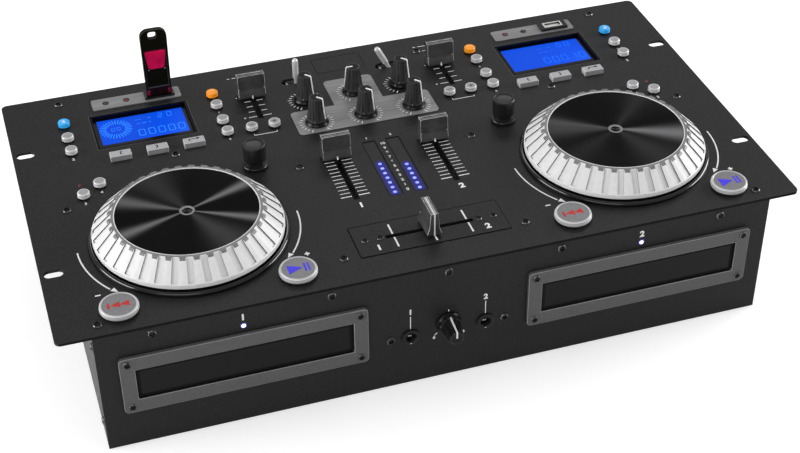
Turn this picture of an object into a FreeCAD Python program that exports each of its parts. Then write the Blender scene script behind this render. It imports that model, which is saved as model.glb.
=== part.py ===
"""Two-deck disc player console with a built-in mixer, as a parametric FreeCAD assembly.

Frame: X to the right, Y to the back, Z up; the origin is the centre of the case's underside.
Every sub-part is one labelled object, and each is written to parts/LABEL.step.
Distances along the control panel are measured from its front edge, as on a drilling drawing.
Deck 1 is on the left and deck 2 on the right; most of their controls mirror each other.
"""
import FreeCAD, Part
import os
import re

import Sketcher
from FreeCAD import Placement, Rotation, Vector

# --------------------------------------------------------------------------------------
# Driving sizes, in millimetres and degrees
# --------------------------------------------------------------------------------------
SIZES = {
    # 19-inch control panel, six rack units deep
    "panel_width": 482.6, "panel_depth": 265.9, "panel_thick": 2.0, "panel_corner": 4.0,
    "rack_spacing_x": 465.1, "rack_spacing_y": 133.35, "rack_slot_length": 12.2,
    "rack_slot_width": 7.0,
    # folded steel case, two rack units high
    "case_width": 440.0, "case_depth": 262.0, "case_height": 88.9, "wall": 1.2,
    "case_flange": 13.0, "corner_tab": 36.0, "front_thick": 2.0, "front_return": 15.0,
    # clearances: loose, running and seated
    "running_gap": 0.4, "shaft_fit": 0.05, "seat_gap": 0.2,
    # jog wheels and their bases
    "jog_x": 145.2, "jog_y": 80.0, "jog_base_radius": 63.6, "jog_base_height": 3.0,
    "jog_base_sides": 60, "jog_blank": 1.0,
    "jog_radius": 60.3, "jog_band_low": 4.2, "jog_band_high": 7.0, "jog_rim_radius": 48.5,
    "jog_height": 18.5, "jog_disc_radius": 45.2, "jog_disc_sink": 0.3, "jog_dimple_radius": 3.4,
    "jog_dimple_depth": 0.8, "jog_shaft_radius": 4.0, "jog_shaft_drop": 7.0, "grip_count": 36,
    "grip_width": 4.0, "grip_sink": 0.6, "grip_low": 0.05, "grip_run_out": 0.05,
    # displays and the brushed strips behind them
    "display_x": 150.3, "display_y": 212.0, "window_width": 66.0, "window_depth": 39.8,
    "window_sink": 1.2, "window_thick": 0.3, "lcd_width": 74.0, "lcd_depth": 47.0, "lcd_thick": 7.0,
    "strip_shift": 1.4, "strip_y": 245.7, "strip_width": 62.8, "strip_depth": 13.6,
    "strip_corner": 2.0, "strip_thick": 0.8, "overlay_thick": 0.5,
    # memory stick sockets
    "usb_shift": 17.8, "usb_y": 246.2, "usb_neck_width": 18.4, "usb_neck_depth": 8.4,
    "usb_bezel_width": 21.0, "usb_bezel_depth": 10.6, "usb_proud": 2.6, "usb_mouth_width": 12.6,
    "usb_mouth_depth": 5.1, "usb_cavity": 12.5, "usb_body_depth": 14.0,
    # memory stick standing in the socket of deck 1
    "stick_width": 18.8, "stick_thick": 8.8, "stick_height": 56.0, "stick_corner": 7.0,
    "stick_plug_width": 12.0, "stick_plug_thick": 4.5, "stick_plug_length": 11.5,
    "stick_eye_width": 6.0, "stick_eye_height": 3.6, "stick_eye_drop": 6.0,
    "stick_window_width": 14.6, "stick_window_height": 36.0, "stick_window_low": 9.0,
    "stick_window_sink": 1.2, "stick_slider_height": 12.0, "stick_slider_low": 28.0,
    # small round push buttons on square stems
    "button_radius": 4.15, "button_height": 4.4, "button_lift": 1.1, "button_reach": 5.0,
    "button_root": 1.0, "button_stem": 5.0, "button_sides": 16, "column_x": 202.4,
    "eject_y": 226.6, "program_back_y": 208.6, "program_front_y": 192.3, "jog_mode_x": 190.4,
    "jog_mode_y": 149.1, "scratch_y": 139.6, "inner_column_x": 96.9, "source_y": 232.0,
    "single_y": 217.4, "time_y": 197.4, "repeat_y": 182.6, "bend_inner_x": 63.9,
    "bend_outer_x": 79.9, "bend_y": 182.3,
    # three rectangular loop keys in front of each display
    "key_x": 146.5, "key_pitch": 25.1, "key_y": 177.4, "key_width": 14.4, "key_depth": 7.0,
    "key_height": 3.7,
    # large start and cue buttons either side of each jog wheel
    "transport_offset": 54.9, "transport_y": 19.7, "transport_radius": 12.0,
    "transport_height": 4.6, "transport_stem": 10.0, "transport_sides": 32,
    # selectors: turn-and-push knobs beside the jog wheels
    "selector_x": 88.1, "selector_y": 139.3, "selector_radius": 7.7, "selector_height": 17.6,
    "selector_lift": 1.4, "selector_dish_radius": 6.0, "selector_dish": 0.8,
    "selector_flange_radius": 8.6, "selector_flange_top": 2.6, "selector_waist_radius": 6.4,
    "selector_grip_low": 5.6,
    "selector_sides": 24,
    # rotary knobs
    "knob_x": 35.3, "knob_back_y": 206.5, "knob_front_y": 176.1, "knob_skirt_radius": 8.5,
    "knob_skirt_top": 2.6, "knob_lift": 0.9, "knob_radius": 5.6, "knob_height": 21.2,
    "skirt_sides": 18, "front_knob_height": 17.2, "front_knob_z": 44.1, "spindle_radius": 3.0,
    "spindle_sides": 6, "spindle_reach": 9.0, "spindle_hole": 7.0,
    # faders: caps, stems, slots and the troughs under them
    "fader_cap_width": 19.6, "fader_cap_top": 5.2, "fader_cap_foot": 9.6,
    "fader_cap_height": 18.6, "fader_cap_low": 1.4, "fader_cap_foot_height": 3.0,
    "fader_cap_flare": 0.9, "fader_cap_waist_height": 7.0, "fader_groove": 0.9,
    "fader_stem_width": 4.0, "fader_stem_thick": 2.2, "fader_stem_reach": 8.0,
    "fader_slot_width": 3.0, "slot_margin": 9.0, "fader_unit_width": 13.0,
    "fader_unit_height": 9.0, "fader_unit_wall": 1.5, "channel_x": 34.4,
    "channel_rest_y": 132.5, "channel_slot_y": 110.2, "channel_slot_length": 56.0,
    "pitch_x": 70.4, "pitch_y": 224.1, "pitch_slot_length": 59.5, "cross_y": 37.2,
    "cross_slot_length": 58.0, "cross_plate_width": 98.6, "cross_plate_depth": 30.6,
    # bat toggle switches
    "toggle_x": 35.1, "toggle_y": 234.0, "toggle_slot_length": 21.4, "toggle_slot_width": 7.5,
    "toggle_pivot_drop": 2.5, "toggle_length": 20.6, "toggle_tail": 4.0,
    "toggle_arm_radius": 1.4, "toggle_neck_radius": 2.0, "toggle_neck_low": 7.5,
    "toggle_tip_radius": 2.6, "toggle_tip_low": 13.2, "toggle_sides": 12,
    "toggle_pin_side": 1.6, "toggle_lean": 28.0, "toggle_housing_width": 15.0,
    "toggle_housing_depth": 9.0, "toggle_housing_height": 12.0,
    # mixer overlay, like an upside-down T, and the level meter
    "overlay_width": 100.8, "overlay_front_y": 164.0, "overlay_step_y": 193.4,
    "overlay_back_y": 225.6, "overlay_neck_width": 35.6, "overlay_corner": 3.5, "meter_x": 8.5,
    "meter_y": 111.0, "meter_width": 8.7, "meter_length": 63.6, "meter_depth": 6.0,
    "meter_margin": 2.0, "meter_sink": 0.4,
    # disc trays, their bezels and their drives
    "tray_x": 130.2, "tray_z": 49.3, "bezel_width": 154.4, "bezel_height": 42.8,
    "bezel_thick": 2.6, "bezel_corner": 3.0, "bezel_mouth_width": 135.6,
    "bezel_mouth_height": 23.2, "door_gap": 0.5, "door_thick": 4.0, "door_sink": 1.4,
    "door_overlap": 1.0, "tray_width": 128.0, "tray_length": 142.0, "tray_thick": 5.0,
    "tray_drop": 2.0, "disc_well_radius": 61.0, "disc_well_depth": 2.6, "tray_well_margin": 2.0,
    "tray_window_width": 44.0, "tray_window_front": 22.0, "tray_window_rear": 6.0,
    "loader_width": 146.0, "loader_length": 186.0, "loader_front": 6.0, "loader_wall": 2.0,
    "loader_floor": 34.0, "loader_height": 24.0, "loader_leg": 12.0, "loader_rail": 6.0,
    "loader_bridge_y": 60.0, "loader_bridge_depth": 30.0,
    # front sockets
    "jack_x": 25.0, "jack_z": 38.5, "jack_bore_radius": 3.2, "jack_bore_depth": 30.0,
    "jack_nut_radius": 5.4, "jack_nut_proud": 0.8, "jack_nut_sides": 16, "jack_body_width": 13.0,
    "jack_body_length": 33.0, "jack_board_width": 70.0, "jack_board_height": 30.0,
    "jack_board_y": 20.0,
    # boards under the panel and on the floor
    "board_drop": 16.0, "board_thick": 1.6, "board_width": 404.0, "board_front_y": 134.0,
    "board_back_y": 254.0, "pot_width": 14.0, "post_width": 5.0, "post_side_x": 160.0,
    "post_front_y": 158.0, "post_back_x": 186.0, "post_back_y": 243.0, "supply_width": 84.0,
    "supply_depth": 52.0, "supply_y": 224.0, "supply_rise": 6.0, "supply_margin": 6.0,
    "transformer_width": 34.0, "transformer_height": 30.0,
    # rear connectors and power switch
    "rear_z": 44.0, "inlet_x": -170.0, "inlet_width": 28.0, "inlet_height": 20.4,
    "inlet_flange_width": 50.0, "inlet_flange_height": 24.0, "inlet_flange_thick": 2.0,
    "inlet_depth": 18.0, "inlet_mouth_width": 24.0, "inlet_mouth_height": 16.4,
    "inlet_mouth_depth": 15.0, "switch_x": -128.0, "switch_width": 19.0, "switch_height": 13.0,
    "switch_depth": 14.0, "switch_proud": 1.0, "switch_lip": 1.6, "rocker_width": 15.1,
    "rocker_height": 8.6, "rocker_depth": 2.4, "rocker_dip": 0.6, "rocker_lean": 8.0,
    "phono_first_x": 40.0, "phono_pitch": 34.0, "phono_radius": 4.15, "phono_length": 9.0,
    "phono_block": 14.0, "phono_body": 11.0,
}

# --------------------------------------------------------------------------------------
# Layout: which size names give each control's place, as (x, distance from the front)
# --------------------------------------------------------------------------------------
DECKS = (("1", -1), ("2", 1))
PHONO_SOCKETS = 2
KEYS = {"loop_in_keys": -1, "loop_out_keys": 0, "loop_exit_keys": 1}
PUSH_BUTTONS = {
    "eject_buttons": ("-column_x", "column_x", "eject_y"),
    "continue_buttons": ("-column_x", "column_x", "program_back_y"),
    "program_buttons": ("-column_x", "column_x", "program_front_y"),
    "jog_mode_buttons": ("-jog_mode_x", "jog_mode_x", "jog_mode_y"),
    "scratch_buttons": ("-column_x", "column_x", "scratch_y"),
    "source_buttons": ("-inner_column_x", "inner_column_x", "source_y"),
    "single_buttons": ("-inner_column_x", "inner_column_x", "single_y"),
    "time_buttons": ("-inner_column_x", "inner_column_x", "time_y"),
    "repeat_buttons": ("-inner_column_x", "inner_column_x", "repeat_y"),
    "bend_down_buttons": ("-bend_outer_x", "bend_inner_x", "bend_y"),
    "bend_up_buttons": ("-bend_inner_x", "bend_outer_x", "bend_y"),
}
KNOBS = {
    "tone_knob_1": ("-knob_x", "knob_back_y"),
    "gain_knob_1": ("-knob_x", "knob_front_y"),
    "mic_knob": ("0", "knob_back_y"),
    "master_knob": ("0", "knob_front_y"),
    "tone_knob_2": ("knob_x", "knob_back_y"),
    "gain_knob_2": ("knob_x", "knob_front_y"),
}
OVERLAY_KNOBS = ("gain_knob_1", "mic_knob", "master_knob", "gain_knob_2")
POSTS = (("-post_side_x", "post_front_y"), ("post_side_x", "post_front_y"),
         ("-post_back_x", "post_back_y"), ("post_back_x", "post_back_y"),
         ("0", "post_front_y"), ("0", "post_back_y"))

doc = FreeCAD.newDocument("DiscConsole")
sheet = doc.addObject("Spreadsheet::Sheet", "Sizes")
for row, (alias, number) in enumerate(SIZES.items(), start=1):
    sheet.set(f"A{row}", alias)
    sheet.set(f"B{row}", str(number))
    sheet.setAlias(f"B{row}", alias)
doc.recompute()


# --------------------------------------------------------------------------------------
# Helpers: every size and place is an expression in the names of the sheet
# --------------------------------------------------------------------------------------
def bind(text):
    """The expression with each size name turned into a reference to the sheet."""
    return re.sub(r"[a-z_]+", lambda m: f"Sizes.{m[0]}" if m[0] in SIZES else m[0], text)


def value(text):
    """The number that an expression stands for at the sheet's present sizes."""
    return float(sheet.evalExpression(bind(text)))


def drive(item, **expressions):
    """Binds properties of an object to expressions."""
    for prop, text in expressions.items():
        item.setExpression(prop, bind(text))
    return item


def place(item, x="0", y="0", z="0", turn=None):
    """Gives an object its turn, and its place as expressions."""
    item.Placement = Placement(Vector(), turn or Rotation())
    for axis, text in zip("xyz", (x, y, z)):
        item.setExpression(f".Placement.Base.{axis}", bind(text))
    return item


def on_panel(item, x, from_front, turn=None):
    """Stands an object on the control panel's upper face."""
    return place(item, x, f"{from_front} - case_depth / 2", "case_height + panel_thick", turn)


def on_front(item, x, z, turn=None):
    """Puts an object on the front face, at a height above the underside."""
    return place(item, x, "-case_depth / 2", z, turn)


def origin_plane(body, role):
    """One of a body's own origin planes or axes."""
    return next(f for f in body.Origin.OriginFeatures if f.Role == role)


def sketch(body, name, plane="XY_Plane", offset="0"):
    """An empty sketch on one of the body's origin planes."""
    item = body.newObject("Sketcher::SketchObject", name)
    item.AttachmentSupport = [(origin_plane(body, plane), "")]
    item.MapMode = "FlatFace"
    if offset != "0":
        item.setExpression(".AttachmentOffset.Base.z", bind(offset))
    return item


def fix_point(sk, geometry, end, x, y):
    """Dimensions a point of a sketch from the sketch's origin."""
    for axis, text in (("X", x), ("Y", y)):
        index = sk.addConstraint(
            Sketcher.Constraint(f"Distance{axis}", -1, 1, geometry, end, value(text)))
        sk.setExpression(f"Constraints[{index}]", bind(text))


def fix_radius(sk, geometry, radius):
    """Dimensions a circle or an arc."""
    index = sk.addConstraint(Sketcher.Constraint("Radius", geometry, value(radius)))
    sk.setExpression(f"Constraints[{index}]", bind(radius))


def outline(sk, points):
    """A closed polygon whose corners are expressions."""
    spots = [Vector(value(x), value(y), 0) for x, y in points]
    first = sk.GeometryCount
    count = len(spots)
    for i in range(count):
        sk.addGeometry(Part.LineSegment(spots[i], spots[(i + 1) % count]), False)
    for i in range(count):
        sk.addConstraint(
            Sketcher.Constraint("Coincident", first + i, 2, first + (i + 1) % count, 1))
    for i, (x, y) in enumerate(points):
        fix_point(sk, first + i, 1, x, y)
    return sk


def rectangle(sk, x, y, width, depth):
    """A rectangle about a centre."""
    low_x, high_x = f"{x} - ({width}) / 2", f"{x} + ({width}) / 2"
    low_y, high_y = f"{y} - ({depth}) / 2", f"{y} + ({depth}) / 2"
    return outline(sk, [(low_x, low_y), (high_x, low_y), (high_x, high_y), (low_x, high_y)])


def circle(sk, x, y, radius):
    """A circle about a centre."""
    geometry = sk.addGeometry(
        Part.Circle(Vector(value(x), value(y), 0), Vector(0, 0, 1), value(radius)), False)
    fix_point(sk, geometry, 3, x, y)
    fix_radius(sk, geometry, radius)
    return sk


def slot(sk, x, y, length, width, along="x"):
    """A slot with round ends: two half circles joined by tangent lines."""
    half = f"({length} - {width}) / 2"
    dx, dy = (half, "0") if along == "x" else ("0", half)
    turn = 0.0 if along == "x" else 1.5707963267948966
    ends = []
    for sign in (1, -1):
        cx, cy = f"{x} + ({sign}) * ({dx})", f"{y} + ({sign}) * ({dy})"
        start = turn + (-1.5707963267948966 if sign > 0 else 1.5707963267948966)
        round_end = Part.Circle(Vector(value(cx), value(cy), 0), Vector(0, 0, 1),
                                value(f"{width} / 2"))
        arc = sk.addGeometry(
            Part.ArcOfCircle(round_end, start, start + 3.141592653589793), False)
        ends.append((arc, cx, cy))
    arcs = [sk.Geometry[e[0]] for e in ends]
    side_a = sk.addGeometry(Part.LineSegment(arcs[0].EndPoint, arcs[1].StartPoint), False)
    side_b = sk.addGeometry(Part.LineSegment(arcs[1].EndPoint, arcs[0].StartPoint), False)
    for arc, end, side, start in ((ends[0][0], 2, side_a, 1), (ends[1][0], 1, side_a, 2),
                                  (ends[1][0], 2, side_b, 1), (ends[0][0], 1, side_b, 2)):
        sk.addConstraint(Sketcher.Constraint("Tangent", arc, end, side, start))
    for arc, cx, cy in ends:
        fix_point(sk, arc, 3, cx, cy)
    fix_radius(sk, ends[0][0], f"{width} / 2")
    return sk


def rounded(sk, x, y, width, depth, radius):
    """A rectangle with round corners: four arcs joined by tangent lines."""
    arcs = []
    quarter = 1.5707963267948966
    for index, (sign_x, sign_y) in enumerate(((1, 1), (-1, 1), (-1, -1), (1, -1))):
        cx = f"{x} + ({sign_x}) * (({width}) / 2 - {radius})"
        cy = f"{y} + ({sign_y}) * (({depth}) / 2 - {radius})"
        corner = Part.Circle(Vector(value(cx), value(cy), 0), Vector(0, 0, 1), value(radius))
        arc = sk.addGeometry(
            Part.ArcOfCircle(corner, index * quarter, (index + 1) * quarter), False)
        arcs.append((arc, cx, cy))
    for index in range(4):
        this, following = arcs[index][0], arcs[(index + 1) % 4][0]
        start, end = sk.Geometry[this].EndPoint, sk.Geometry[following].StartPoint
        line = sk.addGeometry(Part.LineSegment(start, end), False)
        sk.addConstraint(Sketcher.Constraint("Tangent", this, 2, line, 1))
        sk.addConstraint(Sketcher.Constraint("Tangent", line, 2, following, 1))
    for arc, cx, cy in arcs:
        fix_point(sk, arc, 3, cx, cy)
        fix_radius(sk, arc, radius)
    return sk


def pad(body, name, profile, length, reverse=False):
    """Extrudes a sketch."""
    item = body.newObject("PartDesign::Pad", name)
    item.Profile = profile
    item.Reversed = reverse
    return drive(item, Length=length)


def pocket(body, name, profile, depth=None, reverse=False):
    """Cuts a sketch into the body, against its normal, by a depth or right through."""
    item = body.newObject("PartDesign::Pocket", name)
    item.Profile = profile
    item.Reversed = reverse
    if depth is None:
        item.Type = "ThroughAll"
        return item
    return drive(item, Length=depth)


def lathe(name, profile):
    """A body turned about Z from a closed half section of (radius, height) corners."""
    body = doc.addObject("PartDesign::Body", name)
    section = outline(sketch(body, f"{name}_section", "XZ_Plane"), profile)
    turned = body.newObject("PartDesign::Revolution", f"{name}_turned")
    turned.Profile = section
    turned.ReferenceAxis = (section, ["V_Axis"])
    turned.Angle = 360
    return body


def block(name, x, y, z, length, width, height):
    """A box from the corner given by three expressions."""
    item = drive(doc.addObject("Part::Box", name), Length=length, Width=width, Height=height)
    return place(item, x, y, z)


def rod(name, x, y, z, radius, length, turn=None):
    """A round bar from the centre of its lower end."""
    item = drive(doc.addObject("Part::Cylinder", name), Radius=radius, Height=length)
    return place(item, x, y, z, turn)


def union(name, pieces):
    """Joins overlapping pieces into one solid."""
    item = doc.addObject("Part::MultiFuse", name)
    item.Shapes = pieces
    return item


def cut(name, base, tools):
    """Takes one or more tools away from a base."""
    item = doc.addObject("Part::Cut", name)
    item.Base = base
    item.Tool = tools[0] if len(tools) == 1 else union(f"{name}_tools", tools)
    return item


def group(name, pieces):
    """Several separate solids under one name."""
    item = doc.addObject("Part::Compound", name)
    item.Links = pieces
    return item


PARTS = []


def finish(item, label):
    """Names a finished sub-part, which also names its file."""
    item.Label = label
    PARTS.append(item)
    return item


FACE_FRONT = Rotation(Vector(1, 0, 0), 90)
FACE_BACK = Rotation(Vector(1, 0, 0), -90)


# --------------------------------------------------------------------------------------
# Case and panels
# --------------------------------------------------------------------------------------
def case_shell():
    """Folded channel, open at the front, with a back wall and lips for the panel screws."""
    body = place(doc.addObject("PartDesign::Body", "CaseShell"), y="front_thick / 2")
    half, inner, lip = "case_width / 2", "(case_width / 2 - wall)", "(case_width / 2 - case_flange)"
    under = "(case_height - wall)"
    section = outline(sketch(body, "case_section", "XZ_Plane"), [
        (f"-{half}", "0"), (half, "0"), (half, "case_height"), (lip, "case_height"),
        (lip, under), (inner, under), (inner, "wall"), (f"-{inner}", "wall"),
        (f"-{inner}", under), (f"-{lip}", under), (f"-{lip}", "case_height"),
        (f"-{half}", "case_height")])
    folded = pad(body, "case_folded", section, "case_depth - front_thick")
    folded.Midplane = True
    rear = "(case_depth - front_thick) / 2"
    back = rectangle(sketch(body, "case_back"), "0", f"{rear} - wall / 2", "case_width", "wall")
    pad(body, "case_back_wall", back, "case_height")
    tabs = sketch(body, "case_tabs", offset="case_height - wall")
    for side in (-1, 1):
        rectangle(tabs, f"{side} * (case_width - corner_tab) / 2",
                  f"{rear} - case_flange / 2", "corner_tab", "case_flange")
    pad(body, "case_corner_tabs", tabs, "wall")
    ports = sketch(body, "case_ports", "XZ_Plane")
    rectangle(ports, "inlet_x", "rear_z", "inlet_width", "inlet_height")
    rectangle(ports, "switch_x", "rear_z", "switch_width", "switch_height")
    for index in range(PHONO_SOCKETS):
        square(ports, f"phono_first_x + {index} * phono_pitch", "rear_z",
               "phono_body + 2 * seat_gap")
    pocket(body, "case_port_cuts", ports)
    return body


def front_panel():
    """Front plate with returns inside the case sides and cut-outs for trays and sockets."""
    body = place(doc.addObject("PartDesign::Body", "FrontPanel"), y="-case_depth / 2")
    face = sketch(body, "front_outline", "XZ_Plane")
    rectangle(face, "0", "case_height / 2", "case_width", "case_height")
    for deck, side in DECKS:
        rectangle(face, f"{side} * tray_x", "tray_z", "bezel_mouth_width", "bezel_mouth_height")
        circle(face, f"{side} * jack_x", "jack_z", "jack_nut_radius + seat_gap")
    square(face, "0", "front_knob_z", "spindle_hole")
    pad(body, "front_plate", face, "front_thick", reverse=True)
    returns = sketch(body, "front_returns", offset="wall")
    for side in (-1, 1):
        rectangle(returns, f"{side} * (case_width - 3 * wall) / 2",
                  "front_thick + front_return / 2", "wall", "front_return")
    pad(body, "front_return_walls", returns, "case_height - 2 * wall")
    return body


def square(sk, x, y, side):
    """A square opening for a stem or a spindle."""
    return rectangle(sk, x, y, side, side)


def button_openings(body, label):
    """The pair of openings for one kind of push button's stems."""
    holes = sketch(body, f"openings_{label}")
    left, right, y = PUSH_BUTTONS[label]
    for x in (left, right):
        square(holes, x, y, "button_stem + 2 * running_gap")
    return holes


def spindle_openings(body):
    """Openings under the rotary knobs and the selectors."""
    holes = sketch(body, "spindle_openings")
    for x, y in KNOBS.values():
        square(holes, x, y, "spindle_hole")
    for deck, side in DECKS:
        square(holes, f"{side} * selector_x", "selector_y", "spindle_hole")
    return holes


def wheel_openings(body):
    """Openings for the jog wheels' shafts and the large buttons' stems."""
    holes = sketch(body, "wheel_openings")
    for deck, side in DECKS:
        square(holes, f"{side} * jog_x", "jog_y", "2 * jog_shaft_radius + 2 * running_gap")
        for other in (-1, 1):
            square(holes, f"{side} * jog_x + ({other}) * transport_offset", "transport_y",
                   "transport_stem + 2 * running_gap")
    return holes


def display_openings(body):
    """Openings for the displays, the memory stick sockets and the loop keys."""
    holes = sketch(body, "display_openings")
    for deck, side in DECKS:
        rectangle(holes, f"{side} * display_x", "display_y", "window_width + 2 * seat_gap",
                  "window_depth + 2 * seat_gap")
        rectangle(holes, f"{side} * display_x + usb_shift", "usb_y", "usb_neck_width",
                  "usb_neck_depth")
        for step in KEYS.values():
            rectangle(holes, f"{side} * key_x + ({step}) * key_pitch", "key_y",
                      "key_width + 2 * running_gap", "key_depth + 2 * running_gap")
    return holes


def mixer_openings(body):
    """Slots of the faders and windows of the level meter."""
    holes = sketch(body, "mixer_openings")
    for deck, side in DECKS:
        rectangle(holes, f"{side} * meter_x", "meter_y", "meter_width", "meter_length")
        rectangle(holes, f"{side} * pitch_x", "pitch_y", "fader_slot_width",
                  "pitch_slot_length")
        rectangle(holes, f"{side} * channel_x", "channel_slot_y", "fader_slot_width",
                  "channel_slot_length")
    rectangle(holes, "0", "cross_y", "cross_slot_length", "fader_slot_width")
    return holes


def long_openings(body):
    """Slots with round ends for the rack screws and the toggle switches."""
    holes = sketch(body, "long_openings")
    for deck, side in DECKS:
        for row in (-1, 1):
            slot(holes, f"{side} * rack_spacing_x / 2",
                 f"panel_depth / 2 + ({row}) * rack_spacing_y / 2", "rack_slot_length",
                 "rack_slot_width")
        slot(holes, f"{side} * toggle_x", "toggle_y", "toggle_slot_length",
             "toggle_slot_width")
    return holes


def top_panel():
    """The rack-width control panel, drawn from its front edge."""
    body = place(doc.addObject("PartDesign::Body", "TopPanel"), y="-case_depth / 2",
                 z="case_height")
    plate = rounded(sketch(body, "panel_outline"), "0", "panel_depth / 2", "panel_width",
                    "panel_depth", "panel_corner")
    pad(body, "panel_plate", plate, "panel_thick")
    openings = [button_openings(body, label) for label in PUSH_BUTTONS]
    openings += [cutter(body) for cutter in (spindle_openings, wheel_openings,
                                             display_openings, mixer_openings,
                                             long_openings)]
    for holes in openings:
        cuts = pocket(body, f"{holes.Name}_cut", holes)
        cuts.Midplane = True
    return body


# --------------------------------------------------------------------------------------
# Pieces seated on the control panel
# --------------------------------------------------------------------------------------
def jog_base(deck, side):
    """Ring seated on the panel, with a bore for the jog wheel's shaft."""
    ring = many_sided(f"JogRing{deck}", "jog_base_radius", "jog_base_sides", "0",
                      "jog_base_height")
    bore = rod(f"JogBore{deck}", "0", "0", "0", "jog_shaft_radius + shaft_fit",
               "jog_base_height")
    return on_panel(cut(f"JogBase{deck}", ring, [bore]), f"{side} * jog_x", "jog_y")


def window(deck, side):
    """Display glass at the bottom of the recess in its module."""
    return block(f"Window{deck}", f"{side} * display_x - window_width / 2",
                 "display_y - window_depth / 2 - case_depth / 2",
                 "case_height - window_sink", "window_width", "window_depth",
                 "window_thick")


def lcd_module(deck, side):
    """Display module under the panel, with a recess for its glass inside a rim."""
    body = doc.addObject("PartDesign::Body", f"Lcd{deck}")
    case = rectangle(sketch(body, f"lcd_outline_{deck}", offset="-panel_thick - lcd_thick"),
                     "0", "0", "lcd_width", "lcd_depth")
    pad(body, f"lcd_case_{deck}", case, "lcd_thick")
    face = rectangle(sketch(body, f"lcd_face_{deck}", offset="-panel_thick"), "0", "0",
                     "window_width + 2 * seat_gap", "window_depth + 2 * seat_gap")
    pocket(body, f"lcd_recess_{deck}", face, "window_sink")
    return on_panel(body, f"{side} * display_x", "display_y")


def label_strip(deck, side):
    """Brushed strip behind each display, cut out round the memory stick socket."""
    body = doc.addObject("PartDesign::Body", f"Strip{deck}")
    shape = rounded(sketch(body, f"strip_outline_{deck}"), "0", "0", "strip_width",
                    "strip_depth", "strip_corner")
    rectangle(shape, "usb_shift - strip_shift", "usb_y - strip_y", "usb_neck_width",
              "usb_neck_depth")
    pad(body, f"strip_plate_{deck}", shape, "strip_thick")
    return on_panel(body, f"{side} * display_x + strip_shift", "strip_y")


def usb_socket(deck, side):
    """Socket body with a flanged mouth that stands proud of the strip."""
    body = doc.addObject("PartDesign::Body", f"Socket{deck}")
    neck = rectangle(sketch(body, f"socket_neck_{deck}", offset="-usb_body_depth"), "0", "0",
                     "usb_neck_width - 2 * seat_gap", "usb_neck_depth - 2 * seat_gap")
    pad(body, f"socket_block_{deck}", neck, "usb_body_depth + strip_thick")
    flange = rectangle(sketch(body, f"socket_flange_{deck}", offset="strip_thick"), "0", "0",
                       "usb_bezel_width", "usb_bezel_depth")
    pad(body, f"socket_bezel_{deck}", flange, "usb_proud - strip_thick")
    mouth = rectangle(sketch(body, f"socket_mouth_{deck}", offset="usb_proud"), "0", "0",
                      "usb_mouth_width", "usb_mouth_depth")
    pocket(body, f"socket_cavity_{deck}", mouth, "usb_cavity")
    return on_panel(body, f"{side} * display_x + usb_shift", "usb_y")


def mixer_overlay():
    """Thin plate like an upside-down T, with round corners and knob holes."""
    body = doc.addObject("PartDesign::Body", "MixerOverlay")
    bar_depth = "(overlay_step_y - overlay_front_y)"
    bar = rounded(sketch(body, "overlay_bar"), "0",
                  "(overlay_front_y + overlay_step_y) / 2", "overlay_width", bar_depth,
                  "overlay_corner")
    pad(body, "overlay_bar_plate", bar, "overlay_thick")
    neck = rounded(sketch(body, "overlay_neck"), "0",
                   "(overlay_front_y + overlay_back_y) / 2", "overlay_neck_width",
                   "overlay_back_y - overlay_front_y", "overlay_corner")
    pad(body, "overlay_neck_plate", neck, "overlay_thick")
    holes = sketch(body, "overlay_holes")
    for label in OVERLAY_KNOBS:
        square(holes, *KNOBS[label], "spindle_hole")
    pocket(body, "overlay_hole_cuts", holes).Midplane = True
    return on_panel(body, "0", "0")


def crossfader_plate():
    """Slotted plate for the crossfader, seated on the panel."""
    body = doc.addObject("PartDesign::Body", "CrossPlate")
    shape = rectangle(sketch(body, "cross_outline"), "0", "0", "cross_plate_width",
                      "cross_plate_depth")
    rectangle(shape, "0", "0", "cross_slot_length", "fader_slot_width")
    pad(body, "cross_plate", shape, "overlay_thick")
    return on_panel(body, "0", "cross_y")


def level_meter():
    """Two light bars on one board, showing through the panel's windows."""
    pieces = [block("MeterBoard", "-meter_x - meter_width", "meter_y - case_depth / 2"
                    " - meter_length / 2 - meter_margin", "case_height - meter_depth",
                    "2 * (meter_x + meter_width)", "meter_length + 2 * meter_margin",
                    "meter_depth")]
    for deck, side in DECKS:
        pieces.append(block(
            f"MeterBar{deck}", f"{side} * meter_x - meter_width / 2 + seat_gap",
            "meter_y - meter_length / 2 - case_depth / 2 + seat_gap",
            "case_height - meter_depth", "meter_width - 2 * seat_gap",
            "meter_length - 2 * seat_gap", "meter_depth + panel_thick - meter_sink"))
    return union("LevelMeter", pieces)


# --------------------------------------------------------------------------------------
# Jog wheels
# --------------------------------------------------------------------------------------
def jog_slope(share, shift):
    """A point of the wheel's slope, by its share of the way up and a shift along r and z."""
    r = f"jog_radius - {share} * (jog_radius - jog_rim_radius) + ({shift})"
    z = f"jog_band_high + {share} * (jog_height - jog_band_high) + ({shift})"
    return r, z


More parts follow.
